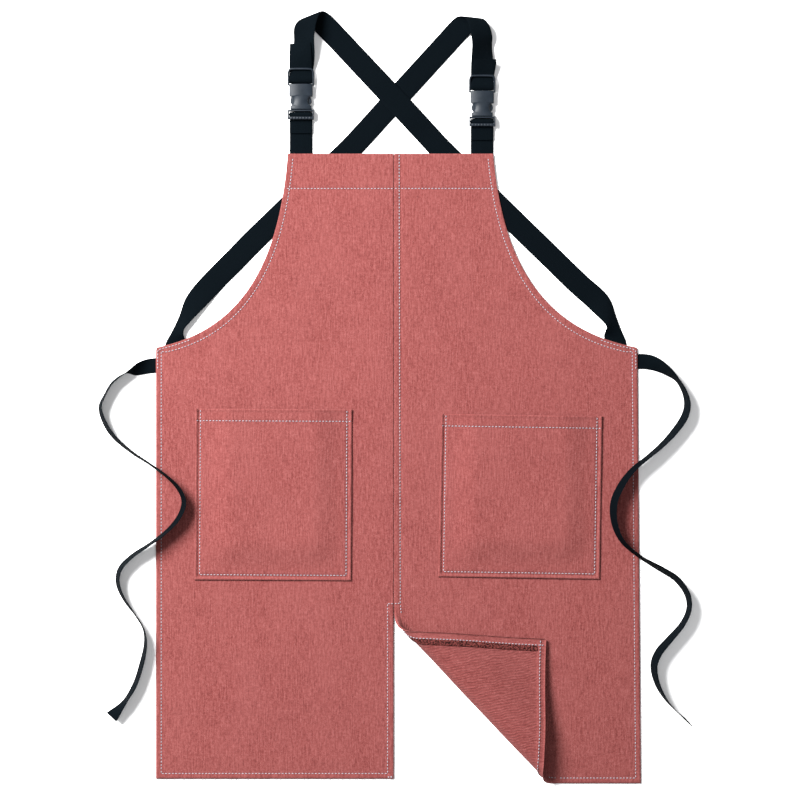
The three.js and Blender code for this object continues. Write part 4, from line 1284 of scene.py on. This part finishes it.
def makeSocketPlate(bm, x, mouthY, low, high, crown):
    # one of the socket's two wide walls, crowned across and rounded at its rim
    shape = buckleShape
    bay = shape["gripLow"] + (shape["gripHigh"] - shape["gripLow"]) * (1 - np.cos(np.linspace(0, math.pi, 21))) / 2
    ends = np.array((0, 0.2, 0.5, 1.0, 1.6))
    rows = np.concatenate([ends, (2.8, 4.0), bay, np.arange(19.5, socketLength - 2, 1.6), socketLength - ends[::-1]])
    share = np.array((0, 0.35, 0.6, 0.78, 0.88, 0.94, 0.98, 1))
    columns = np.concatenate([-share[:0:-1], share])
    plate = bmesh.new()
    bmesh.ops.create_grid(plate, x_segments=len(columns) - 1, y_segments=len(rows) - 1, size=0.5)
    for v in plate.verts:
        i = round((v.co.x + 0.5) * (len(columns) - 1))
        j = round((v.co.y + 0.5) * (len(rows) - 1))
        v.co = (columns[i], rows[j], 0)

    def place(u, y, face):
        half = socketHalfWidth(shape, y)
        toSide = half * (1 - np.abs(u))
        rim = np.clip(1 - np.minimum(toSide, np.minimum(y, socketLength - y)) / shape["edge"], 0, 1)
        sign = np.sign(high - low)
        outer = high - sign * (crown * u ** 2 + shape["edge"] * (1 - np.sqrt(1 - rim ** 2)))
        inner = low - sign * crown * u ** 2
        return np.stack([x + u * half, mouthY + y, np.where(face > 0, outer, inner)], axis=1)

    thickenCloth(plate, place)
    mesh = bpy.data.meshes.new("plate")
    plate.to_mesh(mesh)
    plate.free()
    bm.from_mesh(mesh)


def makeSocket(side):
    shape = buckleShape
    x, mouthY = buckleAt(side)
    low, high = shape["midZ"] - shape["height"] / 2, shape["midZ"] + shape["height"] / 2
    mouth, shoulder, cavity, wall = (shape[k] for k in ("halfMouth", "halfShoulder", "cavity", "wall"))
    bm = bmesh.new()
    makeSocketPlate(bm, x, mouthY, high - wall + 0.6, high + 0.6, shape["crown"])
    makeSocketPlate(bm, x, mouthY, low + wall, low, 0.2)
    topY = mouthY + socketLength
    roundedBlock(bm, (x - shoulder + 0.3, topY - 4, low + 0.5), (x + shoulder - 0.3, topY - 0.4, high - 2.8), 0.4)
    for sign in (-1, 1):
        inner, outer = sorted((sign * cavity, sign * (shoulder - 0.25)))
        roundedBlock(bm, (x + inner, mouthY + 19.5, low + 0.5), (x + outer, topY - 1, high - 2.6), 0.3)
        inner, outer = sorted((sign * cavity, sign * (mouth - 0.25)))
        roundedBlock(bm, (x + inner, mouthY + 0.4, low + 0.8), (x + outer, mouthY + 4.4, high - 2.8), 0.3)
    rail = strap["width"] / 2 + strap["gap"] + 0.1 + shape["rail"] / 2
    barY, barZ = topY + shape["window"] - shape["bar"], shape["midZ"] + 4.6 - shape["bar"]
    corner = [(-rail, topY - 2, shape["midZ"]), (-rail, topY + 4, shape["midZ"] + 0.6),
              (-rail, barY - 4.5, barZ - 0.5), (-rail + 0.9, barY - 1.6, barZ), (-rail + 3.2, barY - 0.2, barZ + 0.2)]
    arch = [(dx, barY + 0.1, barZ + 0.5) for dx in (-7, 0, 7)]
    points = corner + arch + [(-dx, dy, dz) for dx, dy, dz in reversed(corner)]
    rod(bm, [(x + dx, dy, dz) for dx, dy, dz in points], shape["bar"])
    innerY = topY + innerBarOffset
    rod(bm, [(x - rail, innerY, shape["midZ"]), (x, innerY, shape["midZ"]), (x + rail, innerY, shape["midZ"])],
        shape["bar"])
    addPiece(f"{side}Socket", bm, plastic, f"{side}_socket", [f"{side}_buckle_socket"], 40)


def makePlug(side):
    shape = buckleShape
    x, mouthY = buckleAt(side)
    mid, bar = shape["midZ"], shape["bar"]
    rail = strap["width"] / 2 + strap["gap"] + 0.1
    outer = rail + shape["rail"]
    bm = bmesh.new()
    roundedBlock(bm, (x - outer, mouthY - 2.4, mid - 2.9), (x + outer, mouthY - 0.3, mid + 4.2), 0.7)
    roundedBlock(bm, (x - 2, mouthY - 1.5, mid - 1.8), (x + 2, mouthY + 21, mid + 1.8), 0.5)
    lowY = mouthY - shape["plugLength"]
    for sign in (-1, 1):
        inner, far = sorted((sign * rail, sign * outer))
        roundedBlock(bm, (x + inner, lowY, mid - bar), (x + far, mouthY - 0.5, mid + 4.4), 0.6)
    innerY = mouthY - plugBarOffset
    rod(bm, [(x - rail - 0.5, innerY, mid), (x, innerY, mid), (x + rail + 0.5, innerY, mid)], bar)
    roundedBlock(bm, (x - rail - 0.5, lowY, mid + 2.3), (x + rail + 0.5, lowY + 3.6, mid + 4.2), 0.6)
    pitch = 2 * (rail - 1.5) / shape["teeth"]
    for k in range(shape["teeth"]):
        left = x - rail + 1.5 + (k + 0.18) * pitch
        roundedBlock(bm, (left, lowY + 0.5, mid + 3.6), (left + pitch * 0.64, lowY + 3.0, mid + 4.9), 0.45, 2)
    addPiece(f"{side}Plug", bm, plastic, "apron", [f"{side}_buckle_plug"], 40)


def makeArm(side, end):
    shape = buckleShape
    x, mouthY = buckleAt(side)
    sign = math.copysign(1, x) * (1 if end == "outer" else -1)
    tab = [(11.6 + 2.6 * math.sin(math.pi * k / 8) ** 0.7, 6.4 + 10.8 * k / 8) for k in range(9)]
    half = [(6.5, 0.0), (9.5, 0.0), (9.6, 4.6), (10.8, 5.8)] + tab + [(10.4, 18.4), (9.4, 21), (6.5, 21)]
    outline = [(x + sign * dx, mouthY + dy) for dx, dy in half]
    bm = bmesh.new()
    plateFromOutline(bm, outline, shape["midZ"] - 2.2, shape["midZ"] + 1.2, 0.7)
    addPiece(f"{side}{end.title()}Arm", bm, plastic, f"{side}_{end}_arm", [f"{side}_buckle_{end}_arm"],
             40)


for buckleSide in ("left", "right"):
    makeSocket(buckleSide)
    makePlug(buckleSide)
    for armEnd in ("outer", "inner"):
        makeArm(buckleSide, armEnd)
print("buckles made")
